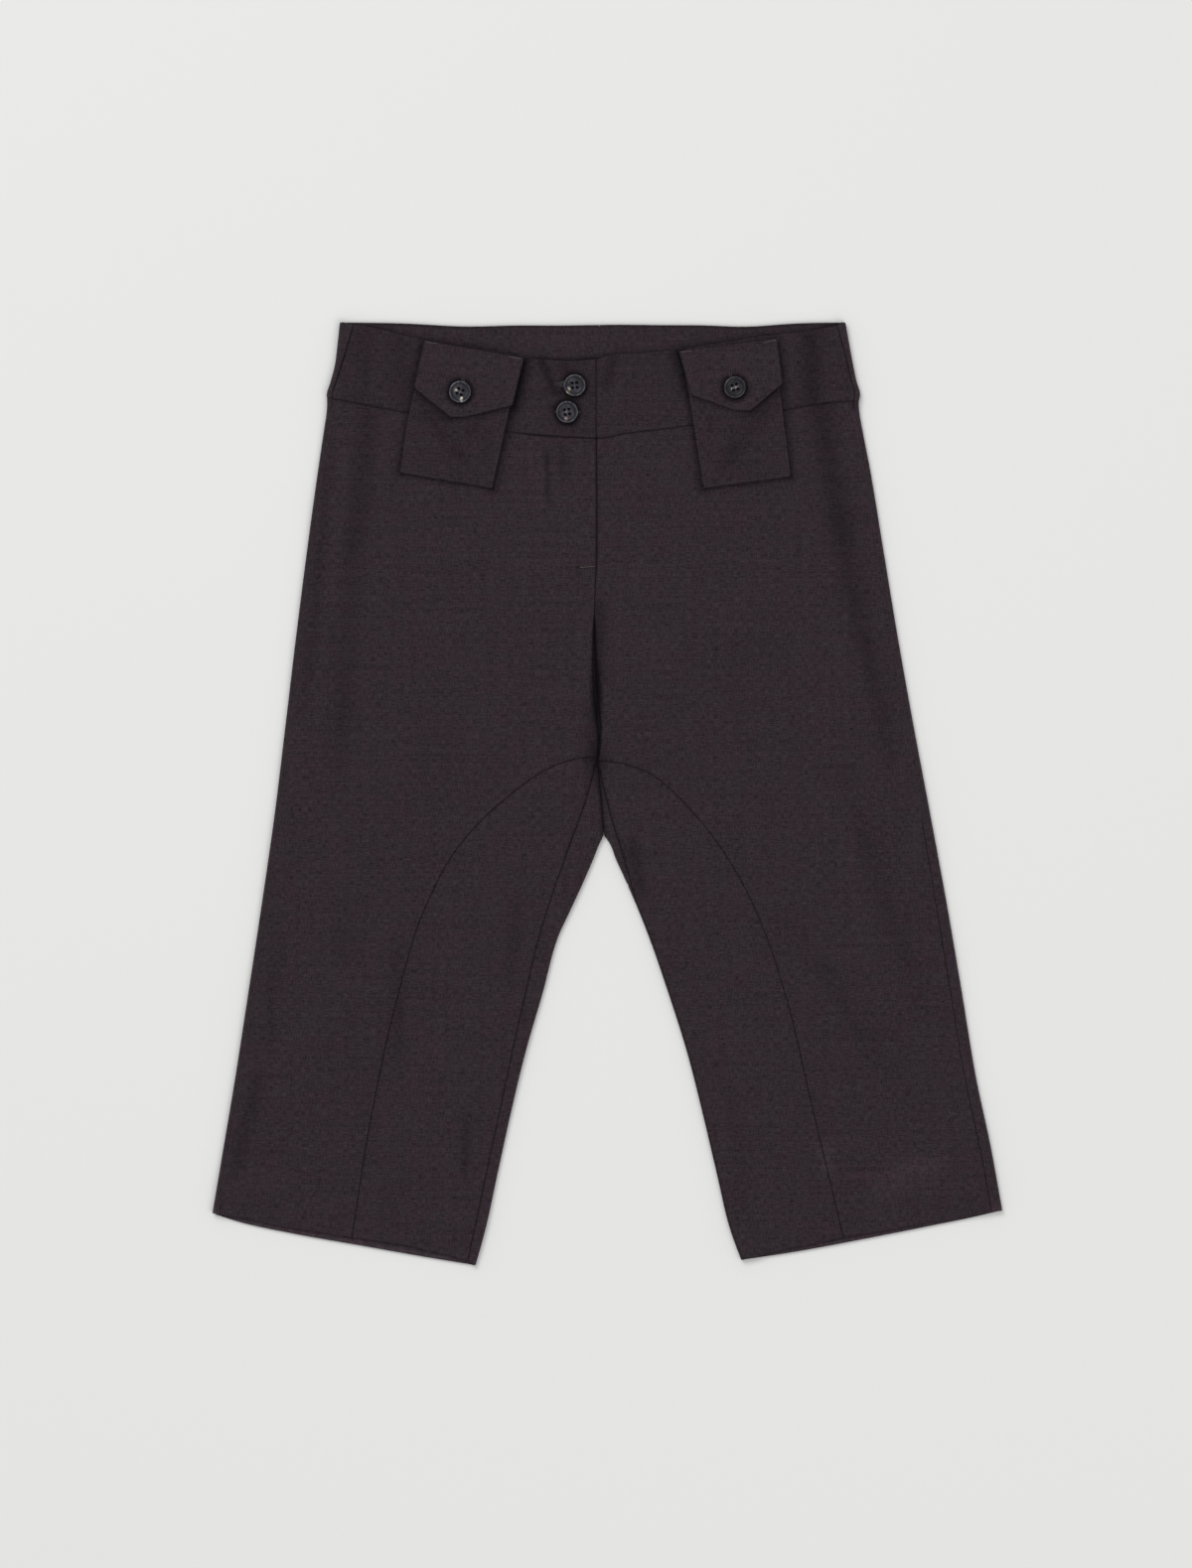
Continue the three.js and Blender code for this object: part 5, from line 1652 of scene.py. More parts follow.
    def facing(self) -> None:
        """The strip that faces the inside of the back band, in one from side to side."""
        right = RIGHT.x(RIGHT.side_fold.away_at(340.0) - self.fold_radius - 2.0)
        left = LEFT.x(LEFT.side_fold.away_at(340.0) - self.fold_radius - 2.0)
        share = crowded(left - right, 90)[0]
        x = lerp(right, left, share)
        centre = np.abs(x - CENTRE_FRONT_X) / 190
        top = self.facing_top - self.back_top_dip * (1 - centre) - self.facing_inset - self.sag(x)
        down = crowded(self.facing_width, 14)[0]
        y = lerp(top[None, :], self.facing_foot, down[:, None])
        wave = 0.12 * np.sin(x / 21.0 + 0.6) * np.sin(x / 37.0)
        level = self.thickness + self.facing_lift + self.facing_thickness
        z = level + np.broadcast_to(wave, y.shape) * 0.6
        z = z - 0.3 * bell(x - CENTRE_FRONT_X - 0.4, 0.9) * smoothstep(y, 357.0, 359.5)
        points = np.stack(np.broadcast_arrays(x[None, :], y, z), axis=-1)
        grid = Grid(points, pair(x[None, :] * np.ones_like(y), y), flip=True)
        # Painted shade along the top edge, and in the centre back seam's dip at the top.
        tick = np.array([(CENTRE_FRONT_X + 0.4, 356.5, 0.0), (CENTRE_FRONT_X + 0.6, self.facing_top, 0.0)])
        edges = [
            Edge(points[0], radius=0.3, depth=0.0, shade=0.22),
            Edge(tick, radius=0.01, depth=0.0, shade=0.85, shade_spread=0.9, in_plan=True),
        ]
        hidden = (points[-1], points[:, 0], points[:, -1])
        edges += [Edge(line, radius=0.3, depth=0.0) for line in hidden]
        # Painted shadow of the front band's top edge on the facing.
        for half in (RIGHT, LEFT):
            line = place(half, half.band_top.points, 0.0)
            edges.append(Edge(line, radius=0.01, depth=0.0, shade=0.42, shade_spread=2.6, in_plan=True))
        piece = Cloth("back_band_facing", [grid], edges, even_wall(self.facing_thickness))
        self.wardrobe.cut(piece, "", *cut_of([grid]), rests_on=["back_band_right", "back_band_left"])


# ---------------------------------------------------------------- the pouch pockets


@dataclass
class Pockets:
    """The pouch pockets that hang over the waistband, each with a pointed flap."""

    wardrobe: Wardrobe
    lift: float = 0.6
    cloth: float = 1.0
    flap_cloth: float = 1.4
    top_margin: float = 3.0
    front_top_margin: float = 9.0
    side_margin: float = 2.2
    swell: float = 0.9
    swell_at_top: float = 0.35
    swell_to_foot: float = 0.9
    rows: int = 34
    columns: int = 30
    flap_rows: int = 40
    flap_runs: Sequence[int] = (26, 9, 30)

    @property
    def back_top(self) -> float:
        """Height of the pouch's back wall above the garment."""
        return self.lift + self.cloth

    @property
    def front_top(self) -> float:
        """Height of the pouch's front wall above the garment where it lies flat."""
        return self.back_top + SEAM_GAP + self.cloth

    @property
    def flap_top(self) -> float:
        """Height of the flap above the garment."""
        return self.front_top + self.swell + SEAM_GAP + self.flap_cloth

    def build(self) -> None:
        """Builds both pockets."""
        for half in (RIGHT, LEFT):
            self.pouch(half, "back", self.top_margin)
            self.pouch(half, "front", self.front_top_margin)
            self.flap(half)

    def pouch_plan(self, half: Half, share: Array, across: Array) -> Array:
        """Plan points of a pouch at shares of its length and of its width."""
        outer_top, inner_top = (np.array(corner) for corner in half.flap[:2])
        outer_foot, inner_foot = (np.array(corner) for corner in half.pouch_foot)
        share, across = (value[..., None] for value in np.broadcast_arrays(share, across))
        margin = self.side_margin * (1 - share)
        bow = half.pouch_bow * np.sin(math.pi * share)
        step = np.array([1.0, 0.0])
        outer = lerp(outer_top, outer_foot, share) + (bow - margin) * step
        inner = lerp(inner_top, inner_foot, share) + margin * step
        return lerp(outer, inner, across)

    def pouch_rise(self, half: Half, share: Array, across: Array, swell: float) -> Array:
        """How far a pouch wall swells above its flat lie, with soft creases across its fullness."""
        downwards = np.sin(math.pi * np.minimum(share, self.swell_to_foot))
        full = swell * np.sin(math.pi * across) * lerp(self.swell_at_top, 1.0, downwards)
        lean = 0.12 if half.laps else -0.08
        crease = bell(across - 0.3 - lean * share, 0.07) * smoothstep(share, 0.5, 0.75)
        inner = 0.8 * bell(across - 0.72 + 2 * lean * share, 0.09)
        crease = crease + inner * smoothstep(share, 0.42, 0.7)
        soft = 0.2 * swell * crease * (1 - smoothstep(share, 0.86, 0.99))
        plan = self.pouch_plan(half, share, across)
        hand = sum(crease.depth_at(plan[..., 0], plan[..., 1]) for crease in half.pouch_creases)
        return full - soft - hand * min(1.0, swell)

    def pouch_surface(self, half: Half, share: Array, across: Array, front: bool) -> Array:
        """Points of a pouch wall's outer face."""
        plan = self.pouch_plan(half, share, across)
        level = self.front_top if front else self.back_top
        rise = self.pouch_rise(half, *np.broadcast_arrays(share, across), self.swell if front else 0.0)
        return place(half, plan, LIE.front_height(half, plan[..., 0], plan[..., 1]) + level + rise)

    def pouch(self, half: Half, wall: str, top_margin: float) -> None:
        """One wall of a pouch, from below the flap's top edge to the foot."""
        length = half.flap[0][1] - half.pouch_foot[0][1]
        share = lerp(top_margin / length, 1.0, crowded(length, self.rows)[0])[:, None]
        across = crowded(75.0, self.columns)
        points = self.pouch_surface(half, share, across, wall == "front")
        plan = self.pouch_plan(half, share, across)
        grid = Grid(points, cloth_of(half, plan), flip=half.sign < 0)
        edges = [Edge(points[0], 0.3), Edge(points[-1], 0.75, 0.0), Edge(points[:, 0], 0.75, 0.0)]
        edges.append(Edge(points[:, -1], 0.75, 0.0))
        if wall == "front":
            # The stitch lines sink a little and get painted shade.
            edges += [Edge(line, 0.01, 0.22, 0.8, 0.12, 0.5) for line in self.stitch_lines(half)]
            # Painted shadow below the flap's lower edge, wider on its outer part.
            low = place(half, self.flap_edge(half), 0.0)
            edges.append(Edge(low, radius=0.01, depth=0.0, shade=0.4, shade_spread=3.0, in_plan=True))
            outer = low[: self.flap_runs[0] + len(EDGE_STEPS)]
            edges.append(Edge(outer, radius=0.01, depth=0.0, shade=0.36, shade_spread=7.0, in_plan=True))

        def light(found: Array) -> Array:
            """Painted shade and light on the pouch at points, from its creases, times 0.92."""
            away = (found[:, 0] - CENTRE_FRONT_X) * half.sign
            return 0.92 * lightness(half.pouch_creases, away, found[:, 1])

        def thickness(found: Array) -> Array:
            """The pouch's even thickness."""
            return np.full(len(found), self.cloth)

        piece = Cloth(f"pouch_{wall}_{half.side}", [grid], edges, thickness, light)
        lies_on = [f"front_band_{half.side}", f"front_panel_{half.side}"]
        lies_on = lies_on if wall == "back" else [f"pouch_back_{half.side}"]
        self.wardrobe.cut(piece, f"pocket_{wall}_{half.side}", *cut_of([grid]), rests_on=lies_on)

    def stitch_lines(self, half: Half, inset: float = 1.5) -> list[Array]:
        """The rows of edge stitching on a pouch's front: both sides and the foot."""
        length = half.flap[0][1] - half.pouch_foot[0][1]
        down = np.linspace(self.front_top_margin / length, 1 - inset / length, 60)
        side = inset / 74.0
        foot = np.linspace(side, 1 - side, 60)
        return [
            self.pouch_surface(half, down, np.full(60, side), True),
            self.pouch_surface(half, down, np.full(60, 1 - side), True),
            self.pouch_surface(half, np.full(60, 1 - inset / length), foot, True),
        ]

    def flap_points(self, half: Half, plan: Array) -> Array:
        """Points of the flap's outer face, at the flap's fixed height above the front below it."""
        height = LIE.front_height(half, plan[..., 0], plan[..., 1]) + self.flap_top
        return place(half, plan, height)

    def flap_edge(self, half: Half) -> Array:
        """The flap's lower edge in plan, from its outer to its inner corner."""
        corners = [np.array(corner) for corner in reversed(half.flap[2:])]
        runs = []
        for index, (start, end) in enumerate(zip(corners[:-1], corners[1:])):
            length = np.linalg.norm(end - start)
            share = crowded(length, self.flap_runs[index], start=index == 0, end=index == 2)[0]
            runs.append(lerp(start, end, share[: None if index == 2 else -1, None]))
        return np.concatenate(runs)

    def flap(self, half: Half) -> None:
        """The pointed flap, which closes over the pouch."""
        outer_top, inner_top = (np.array(corner) for corner in half.flap[:2])
        low = self.flap_edge(half)
        across = (low[:, :1] - low[0, 0]) / (low[-1, 0] - low[0, 0])
        top = lerp(outer_top, inner_top, across)
        down = crowded(40.0, self.flap_rows)[0][:, None, None]
        plan = lerp(top[None], low[None], down)
        points = self.flap_points(half, plan)
        grid = Grid(points, cloth_of(half, plan), flip=half.sign < 0)
        # Painted shade along the borders and the stitch lines, and the button's painted shadow.
        edges = [Edge(line, 0.8, 0.0, shade=0.15) for line in grid.borders()]
        edges += [Edge(line, 0.01, 0.22, 0.8, 0.12, 0.5) for line in self.flap_stitch_lines(half)]
        edges.append(button_shadow(half, half.pocket_button))
        piece = Cloth(f"flap_{half.side}", [grid], edges, even_wall(self.flap_cloth))
        lies_on = [f"pouch_front_{half.side}", f"front_band_{half.side}"]
        self.wardrobe.cut(piece, f"pocket_flap_{half.side}", *cut_of([grid]), rests_on=lies_on)

    def flap_stitch_lines(self, half: Half, inset: float = 1.7) -> list[Array]:
        """The rows of edge stitching on a flap, an inset inside its outline."""
        corners = np.array(half.flap)
        middle = corners.mean(axis=0)
        inner = middle + (corners - middle) * (1 - inset / 30.0)
        # It starts at the inner top corner, so the top edge is left out.
        closed = np.vstack([inner[1:], inner[:1]])
        lines = []
        for start, end in zip(closed[:-1], closed[1:]):
            plan = lerp(start, end, np.linspace(0, 1, 40)[:, None])
            lines.append(self.flap_points(half, plan))
        return lines


# ---------------------------------------------------------------- buttons


@dataclass
class Buttons:
    """Four-hole buttons with a raised rim and a dished middle."""

    wardrobe: Wardrobe
    pockets: Pockets
    radius: float = 8.4
    thickness: float = 2.7
    well: float = 0.8
    rim: float = 1.7
    bevel: float = 1.2
    hole_radius: float = 1.2
    hole_offset: float = 1.75
    hole_depth: float = 1.75
    clearance: float = 0.4
    rings: int = 78
    sectors: int = 120

    turns: Sequence[float] = (0.06, 0.17, -0.4, 0.29)

    def build(self) -> None:
        """Builds the two waist buttons and the two pocket buttons."""
        looks = (
            ("waist_upper", Horn(
                "horn_waist_upper",
                [Patch(-4.4, -2.9, 1.9, 0.8), Patch(-4.6, -5.0, 2.4, 0.3)],
            )),
            ("waist_lower", Horn(
                "horn_waist_lower",
                [Patch(-0.8, -5.6, 2.2, 0.6), Patch(-1.4, 0.4, 2.2, 0.12)],
                pale=(0.40, 0.29, 0.27),
            )),
            ("pocket_right", Horn(
                "horn_pocket_right",
                [Patch(1.3, -4.7, 1.2), Patch(1.0, -6.3, 1.6), Patch(-2.8, 1.3, 1.9, 0.4)],
                pale=(0.66, 0.63, 0.57),
            )),
            ("pocket_left", Horn(
                "horn_pocket_left",
                [Patch(-1.8, -1.0, 1.7, 0.5), Patch(1.4, 0.1, 1.7, 0.45)],
                body=(0.0090, 0.0090, 0.0125),
                vein=(0.022, 0.0215, 0.029),
            )),
        )
        for (name, horn), (centre, turn, _) in zip(looks, self.seats()):
            self.button(f"{name}_button", f"button_{name}", centre, horn, turn)

    def seats(self) -> list[tuple[Array, float, float]]:
        """Each button's middle on its back, how far its holes are turned, and its dish's height."""
        floor = self.thickness - self.well
        found = []
        for _, (away, y) in WAIST_BUTTONS:
            base = float(LIE.band_height(RIGHT, np.array(away), np.array(y)))
            found.append(np.array([RIGHT.x(away), y, base + self.clearance]))
        for half in (RIGHT, LEFT):
            away, y = half.pocket_button
            base = float(LIE.front_height(half, np.array(away), np.array(y))) + self.pockets.flap_top
            found.append(np.array([half.x(away), y, base + self.clearance]))
        return [(centre, turn, floor) for centre, turn in zip(found, self.turns)]

    def profile(self, radius: Array) -> Array:
        """Height of the button's top above its back at a distance from its middle."""
        floor = self.thickness - self.well
        slope = smoothstep(radius, self.radius - self.rim - 1.5, self.radius - self.rim + 0.2)
        out = np.clip((radius - (self.radius - 1.3)) / 1.3, 0, 1)
        rounded = 1 - np.sqrt(1 - 0.999 * out**2)
        return floor + self.well * slope - (self.thickness - self.bevel) * rounded

    def tone(self, radius: Array) -> Array:
        """Painted light and shade at a distance from the middle: a painted highlight on the rim, painted
        shade in a ring inside it and painted light in the middle.
        """
        rim = 4.0 * bell(radius - (self.radius - 0.5), 0.28)
        ring = 0.7 * bell(radius - (self.radius - 1.8), 0.8)
        return 0.97 + rim - ring + 0.95 * bell(radius, 3.2)

    def button(self, name: str, node: str, centre: Array, horn: Horn, turn: float) -> None:
        """One button: rings round its middle for the top, then its wall and its back.

        Args:
            name: the piece's name.
            node: the node it stands for.
            centre: its middle, on its back.
            horn: its finish.
            turn: how far the holes are turned.
        """
        reach = self.radius * np.linspace(0, 1, self.rings + 1) ** 0.85
        angle = np.arange(self.sectors) * TAU / self.sectors
        reach, angle = np.meshgrid(reach, angle, indexing="ij")
        x, y = reach * np.cos(angle), reach * np.sin(angle)
        z = self.profile(reach)
        shade = self.tone(reach)
        for corner in range(4):
            around = turn + math.pi / 4 + corner * math.pi / 2
            hole = np.array([math.cos(around), math.sin(around)]) * self.hole_offset * math.sqrt(2)
            distance = np.hypot(x - hole[0], y - hole[1])
            inside = 1 - smoothstep(distance, self.hole_radius - 0.12, self.hole_radius + 0.06)
            z = z - self.hole_depth * inside
            # Painted shade: the holes are black.
            shade *= 1 - inside
        low = 0.9 * self.radius
        foot = (self.radius - 0.5, 0.25 * self.bevel)
        wall = [(self.radius, 0.7 * self.bevel), foot, (low, 0.0), (0.0, 0.0)]
        # The wall and the back take a flat 0.6 of painted shade.
        for wall_reach, wall_z in wall:
            x = np.vstack([x, wall_reach * np.cos(angle[:1])])
            y = np.vstack([y, wall_reach * np.sin(angle[:1])])
            z = np.vstack([z, np.full((1, self.sectors), wall_z)])
            shade = np.vstack([shade, np.full((1, self.sectors), 0.6)])
        rows = len(x)
        index = np.arange(rows * self.sectors).reshape(rows, self.sectors)
        around = np.roll(index, -1, axis=1)
        quads = np.stack([index[:-1], index[1:], around[1:], around[:-1]], axis=-1).reshape(-1, 4)
        points = np.stack([x, y, z], axis=-1).reshape(-1, 3) + centre
        points, quads, keep = self.close_poles(points, quads, rows)
        piece = write(name, points, quads, shade=shade.ravel()[keep])
        self.wardrobe.hand_over(piece, horn.make(centre), Slot.BUTTON, [node])

    def close_poles(self, points: Array, quads: Array, rows: int) -> tuple[Array, Array, Array]:
        """Joins the first and the last ring into one point each, and splits quads into triangles."""
        count = self.sectors
        last = (rows - 1) * count
        target = np.arange(rows * count)
        target[:count] = 0
        target[last:] = last
        keep = np.concatenate([[0], np.arange(count, last), [last]])
        order = np.zeros(rows * count, int)
        order[keep] = np.arange(len(keep))
        faces = order[target[quads]]
        triangles = np.vstack([faces[:, [0, 1, 2]], faces[:, [0, 2, 3]]])
        whole = (
            (triangles[:, 0] != triangles[:, 1])
            & (triangles[:, 1] != triangles[:, 2])
            & (triangles[:, 2] != triangles[:, 0])
        )
        return points[keep], triangles[whole], keep


# ---------------------------------------------------------------- sewing


@dataclass
class Threads:
    """Short lengths of thread, gathered into one mesh."""

    sides: int = 6
    taper: float = 0.5
    points: list = field(default_factory=list)
    faces: list = field(default_factory=list)
    count: int = 0

    def add(self, paths: Array, radius: float) -> None:
        """Adds round threads with blunt ends.

        Args:
            paths: the threads' middles (threads, points, 3).
            radius: their radius.
        """
        threads, length, _ = paths.shape
        run = unit(np.gradient(paths, axis=1))
        side = unit(np.cross(run, (0.0, 0.0, 1.0)))
        above = np.cross(side, run)
        angle = np.arange(self.sides) * TAU / self.sides
        size = np.full(length, radius)
        size[[0, -1]] *= self.taper
        around = side[:, :, None] * np.cos(angle)[:, None] + above[:, :, None] * np.sin(angle)[:, None]
        rings = paths[:, :, None] + around * size[:, None, None]
        added = threads * length * self.sides
        index = self.count + np.arange(added).reshape(threads, length, self.sides)
        turned = np.roll(index, -1, axis=2)
        a, b, c, d = index[:, :-1], turned[:, :-1], turned[:, 1:], index[:, 1:]
        self.faces.append(np.stack([a, b, c, a, c, d], axis=-1).reshape(-1, 3))
        for end in (index[:, 0, ::-1], index[:, -1]):
            fan = [
                np.stack([end[:, 0], end[:, corner], end[:, corner + 1]], axis=-1)
                for corner in range(1, self.sides - 1)
            ]
            self.faces.append(np.concatenate(fan))
        self.points.append(rings.reshape(-1, 3))
        self.count += added

    def build(self, name: str) -> bpy.types.Object:
        """Writes the mesh."""
        return write(name, np.vstack(self.points), np.vstack(self.faces), sharp=math.radians(80))


Surface = Callable[[Array], Array]


@dataclass
class Sewing:
    """Bar tacks, buttonholes, edge stitching, the fly's stitching and the buttons' threads."""

    wardrobe: Wardrobe
    pockets: Pockets
    thread: float = 0.17
    satin_pitch: float = 0.36
    tack_width: float = 0.6
    buttonhole_length: float = 19.5
    lip: float = 0.58
    stitch: float = 2.7
    fly_pitch: float = 2.4
    fly_away: float = 36.3
    fly_top: float = 264.0
    fly_turn: float = 210.0
    fine_thread: float = 0.13
    bar_reach: float = 1.75
    bar_shift: float = 0.18
    waist_fill: float = 0.34
    waist_fill_sink: float = 0.75
    fold_fill: float = 0.5
    fold_fill_inset: float = 1.1
    fold_fill_depth: float = 2.4
    side_fill: float = 0.3
    side_fill_sink: float = 0.72

    def build(self) -> None:
        """Sews everything."""
        self.light, self.mid, self.dark = Threads(), Threads(), Threads()
        self.tacks()
        self.buttonholes()
        self.edges()
        self.fly()
        self.button_threads()
        self.thread_loop()
        self.waist_allowance()
        self.side_allowance()
        finishes = (
            ("bar_tacks", self.light, self.wardrobe.light_thread),
            ("edge_stitching", self.mid, self.wardrobe.mid_thread),
            ("dark_stitching", self.dark, self.wardrobe.dark_thread),
        )
        for name, threads, finish in finishes:
            self.wardrobe.hand_over(threads.build(name), finish, Slot.SUITING)

    # -- surfaces

    def on_flap(self, half: Half) -> Surface:
        """Lifts plan points onto a flap."""
        return lambda plan: self.pockets.flap_points(half, plan)

    def on_band(self, half: Half) -> Surface:
        """Lifts plan points onto the front band."""
        return lambda plan: raised(half, plan, lambda away, y: LIE.band_height(half, away, y))

    def on_panel(self, half: Half) -> Surface:
        """Lifts plan points onto a panel."""
        return lambda plan: raised(half, plan, lambda away, y: LIE.panel_height(half, away, y))

    # -- kinds of stitch

    def satin(
        self,
        threads: Threads,
        surface: Surface,
        start: Array,
        end: Array,
        width: float,
        offset: Callable[[Array], Array] = lambda share: 0 * share,
        arch: float = 0.22,
        seed: int = 1,
    ) -> None:
        """Close stitches square to a line.

        Args:
            threads: where they are gathered.
            surface: lifts plan points onto the cloth.
            start: start of the line in plan.
            end: its end.
            width: how long each stitch is.
            offset: how far the line is moved sideways at shares of its length.
            arch: how high the stitches rise.
            seed: seed of their unevenness.
        """
        rng = np.random.default_rng(seed)
        start, end = np.asarray(start, float), np.asarray(end, float)
        run = end - start
        length = float(np.linalg.norm(run))
        count = max(3, int(length / self.satin_pitch))
        share = (np.arange(count) + 0.5) / count
        across = np.array([-run[1], run[0]]) / length
        middle = start + share[:, None] * run + offset(share)[:, None] * across
        middle = middle + rng.normal(0, 0.03, (count, 2))
        half_width = width / 2 * (1 + rng.normal(0, 0.06, count))
        place_across = np.linspace(-1, 1, 5)
        plan = middle[:, None] + across * (half_width[:, None] * place_across)[..., None]
        points = surface(plan)
        points[..., 2] += arch * np.sqrt(np.maximum(0, 1 - place_across**2 * 0.96)) - 0.04
        threads.add(points, self.thread)

    def run_stitches(
        self, threads: Threads, line: Array, length: float, radius: float, share: float = 0.8
    ) -> None:
        """Straight stitches end to end along a line on the cloth.

        Args:
            threads: where they are gathered.
            line: the line's points.
            length: from one stitch to the next.
            radius: the thread's radius.
            share: how much of that length shows.
        """
        reach = np.concatenate([[0.0], np.cumsum(np.linalg.norm(np.diff(line, axis=0), axis=1))])
        count = max(1, int(reach[-1] / length))
        starts = np.arange(count) * reach[-1] / count
        along = starts[:, None] + np.linspace(0, share * reach[-1] / count, 5)
        points = np.stack([np.interp(along, reach, line[:, axis]) for axis in range(3)], axis=-1)
        points[..., 2] += radius * (0.9 * np.sin(np.linspace(0, math.pi, 5)) - 0.35)
        threads.add(points, radius)

    # -- what is sewn

    def tacks(self) -> None:
        """Bar tacks on the flaps' upper corners and at the foot of the fly."""
        tacks = (
            (RIGHT, (130.3, 346.4), (121.6, 345.2)),
            (RIGHT, (66.4, 334.9), (57.2, 333.6)),
            (LEFT, (65.2, 338.6), (73.2, 339.8)),
            (LEFT, (128.4, 346.0), (138.2, 347.9)),
        )
        for number, (half, start, end) in enumerate(tacks):
            self.satin(self.light, self.on_flap(half), start, end, self.tack_width, seed=number)
        surface = self.on_panel(RIGHT)
        self.satin(self.light, surface, (12.6, 173.8), (0.6, 174.6), self.tack_width, arch=0.3, seed=9)
        self.satin(self.dark, surface, (15.6, 174.4), (12.4, 174.2), 0.9, arch=0.2, seed=10)
        below = lerp(np.array([15.8, 173.2]), np.array([0.6, 173.9]), np.linspace(0, 1, 24)[:, None])
        self.dark.add((surface(below) + (0, 0, 0.1))[None], 0.3)

    @staticmethod
    def opening(share: Array) -> Array:
        """How far a slit is open: rising evenly to a third of its length and closing at two thirds."""
        return np.maximum(0, 1 - np.abs(share / 0.33 - 1))

    def buttonhole(
        self,
        surface: Surface,
        start: Array,
        end: Array,
        gape: float,
        threads: Threads,
        seed: int,
    ) -> None:
        """A worked buttonhole: two lips of close stitches, a bar at each end and a slit of dark thread,
        painted shade in its opening.

        Args:
            surface: lifts plan points onto the cloth.
            start: its end that shows.
            end: its other end.
            gape: how far the slit opens a third of the way along.
            threads: where the stitches of its lips are gathered.
            seed: seed of their unevenness.
        """
        start, end = np.asarray(start, float), np.asarray(end, float)
        for side in (-1, 1):

            def offset(share: Array, side: int = side) -> Array:
                """How far the lip lies from the slit's line."""
                return side * (0.12 + self.lip / 2 + gape * self.opening(share))

            self.satin(threads, surface, start, end, self.lip, offset, seed=seed + side)
        run = (end - start) / np.linalg.norm(end - start)
        across = np.array([-run[1], run[0]])
        for tip in (start - run * 0.1, end + run * 0.1):
            self.satin(threads, surface, tip - across * 0.3, tip + across * 0.3, 0.4, seed=seed + 5)
        # Dark thread along the slit stands in for the shade in its opening.
        share = np.linspace(0, 1, 40)
        for side in np.linspace(-1, 1, 5):
            shift = side * gape * self.opening(share) * 0.85
            slit = surface(start + share[:, None] * (end - start) + shift[:, None] * across)
            slit[:, 2] += 0.1
            self.dark.add(slit[None], 0.2 + 0.25 * gape)

    def buttonholes(self) -> None:
        """The four buttonholes."""
        band, length = self.on_band(RIGHT), self.buttonhole_length
        self.buttonhole(band, (31.2, 314.4), (31.2 - length, 314.0), 1.8, self.light, 21)
        self.buttonhole(band, (31.5, 293.0), (31.5 - length, 292.8), 0.0, self.mid, 31)
        right, left = self.on_flap(RIGHT), self.on_flap(LEFT)
        self.buttonhole(right, (102.0, 321.4), (101.4, 321.4 - length), 0.6, self.mid, 41)
        self.buttonhole(left, (102.8, 327.0), (104.4, 327.0 - length), 0.6, self.mid, 51)

    def edges(self) -> None:
        """Edge stitching round the flaps and the pouches."""
        for half in (RIGHT, LEFT):
            for line in self.pockets.stitch_lines(half) + self.pockets.flap_stitch_lines(half):
                self.run_stitches(self.mid, line, self.stitch, self.thread)

    def fly(self) -> None:
        """The fly's stitching: small puckers down its straight part, and a curve to the tack."""
        surface = self.on_panel(RIGHT)
        count = int((self.fly_top - self.fly_turn) / self.fly_pitch)
        y = self.fly_top - np.arange(count) * self.fly_pitch
        width = 0.9 * (1 - 0.5 * smoothstep(self.fly_top - y, 30, self.fly_top - self.fly_turn))
        across = np.linspace(-1, 1, 5)
        plan = pair(self.fly_away + width[:, None] * across, y[:, None] + 0.1 * across)
        points = surface(plan)
        points[..., 2] += 0.1 * np.cos(across * 1.4) - 0.06
        self.dark.add(points, 0.2)
        turn = (self.fly_away, self.fly_turn)
        curve = PatternLine([turn, (35.4, 196), (31, 184.5), (23.5, 177.5), (14, 174.2)])
        self.run_stitches(self.dark, surface(curve.points), self.fly_pitch, self.fine_thread, 0.6)

    def button_threads(self) -> None:
        """Two bars of thread on each button, from hole to hole."""
        reach, share = self.bar_reach, np.linspace(0, 1, 21)[:, None]
        for centre, turn, floor in Buttons(self.wardrobe, self.pockets).seats():
            cosine, sine = math.cos(turn), math.sin(turn)
            for side in (-1, 1):
                ends = np.array([(side * reach, -reach), (side * reach, reach)])
                turned = ends @ np.array([[cosine, sine], [-sine, cosine]])
                for shift in (-self.bar_shift, self.bar_shift):
                    flat = centre[:2] + lerp(turned[0], turned[1], share) + (shift, 0)
                    z = centre[2] + floor + 0.1 - 1.6 * smoothstep(np.abs(2 * share - 1), 0.32, 0.7)
                    self.mid.add(np.hstack([flat, z])[None], self.fine_thread)

    def waist_allowance(self) -> None:
        """The turned allowance that fills the waist seam on top and where it goes round the side folds, in
        dark thread darker than the cloth: painted shade in the seam's gap.

        On top it lies a cloth's thickness below the seam. Round the fold it is half an ellipse, set
        in by a wall and a half of cloth.
        """
        turn = np.linspace(0, math.pi, 19)
        for half in (RIGHT, LEFT):
            away = np.linspace(0.4, half.side_fold.away_at(half.waist_fold_y) - 4.0, 90)
            line = pair(away, half.waist_seam.y_at(away))
            panel = LIE.panel_height(half, away, line[:, 1])
            lower = np.minimum(panel, LIE.band_height(half, away, line[:, 1]))
            filling = place(half, line, lower - self.waist_fill_sink)
            self.dark.add(filling[None], self.waist_fill)
            edge = half.side_fold.at(np.array([half.waist_fold_y]))[0]
            height = float(LIE.panel_height(half, edge[0] - 3.0, edge[1]))
            reach = self.fold_fill_inset + self.fold_fill_depth * (1 - np.sin(turn))
            plan = pair(edge[0] - reach, edge[1] + 0 * turn)
            inset = self.fold_fill_inset
            z = inset / 2 + (height - inset) / 2 * (1 - np.cos(turn))
            self.dark.add(place(half, plan, z)[None], self.fold_fill)

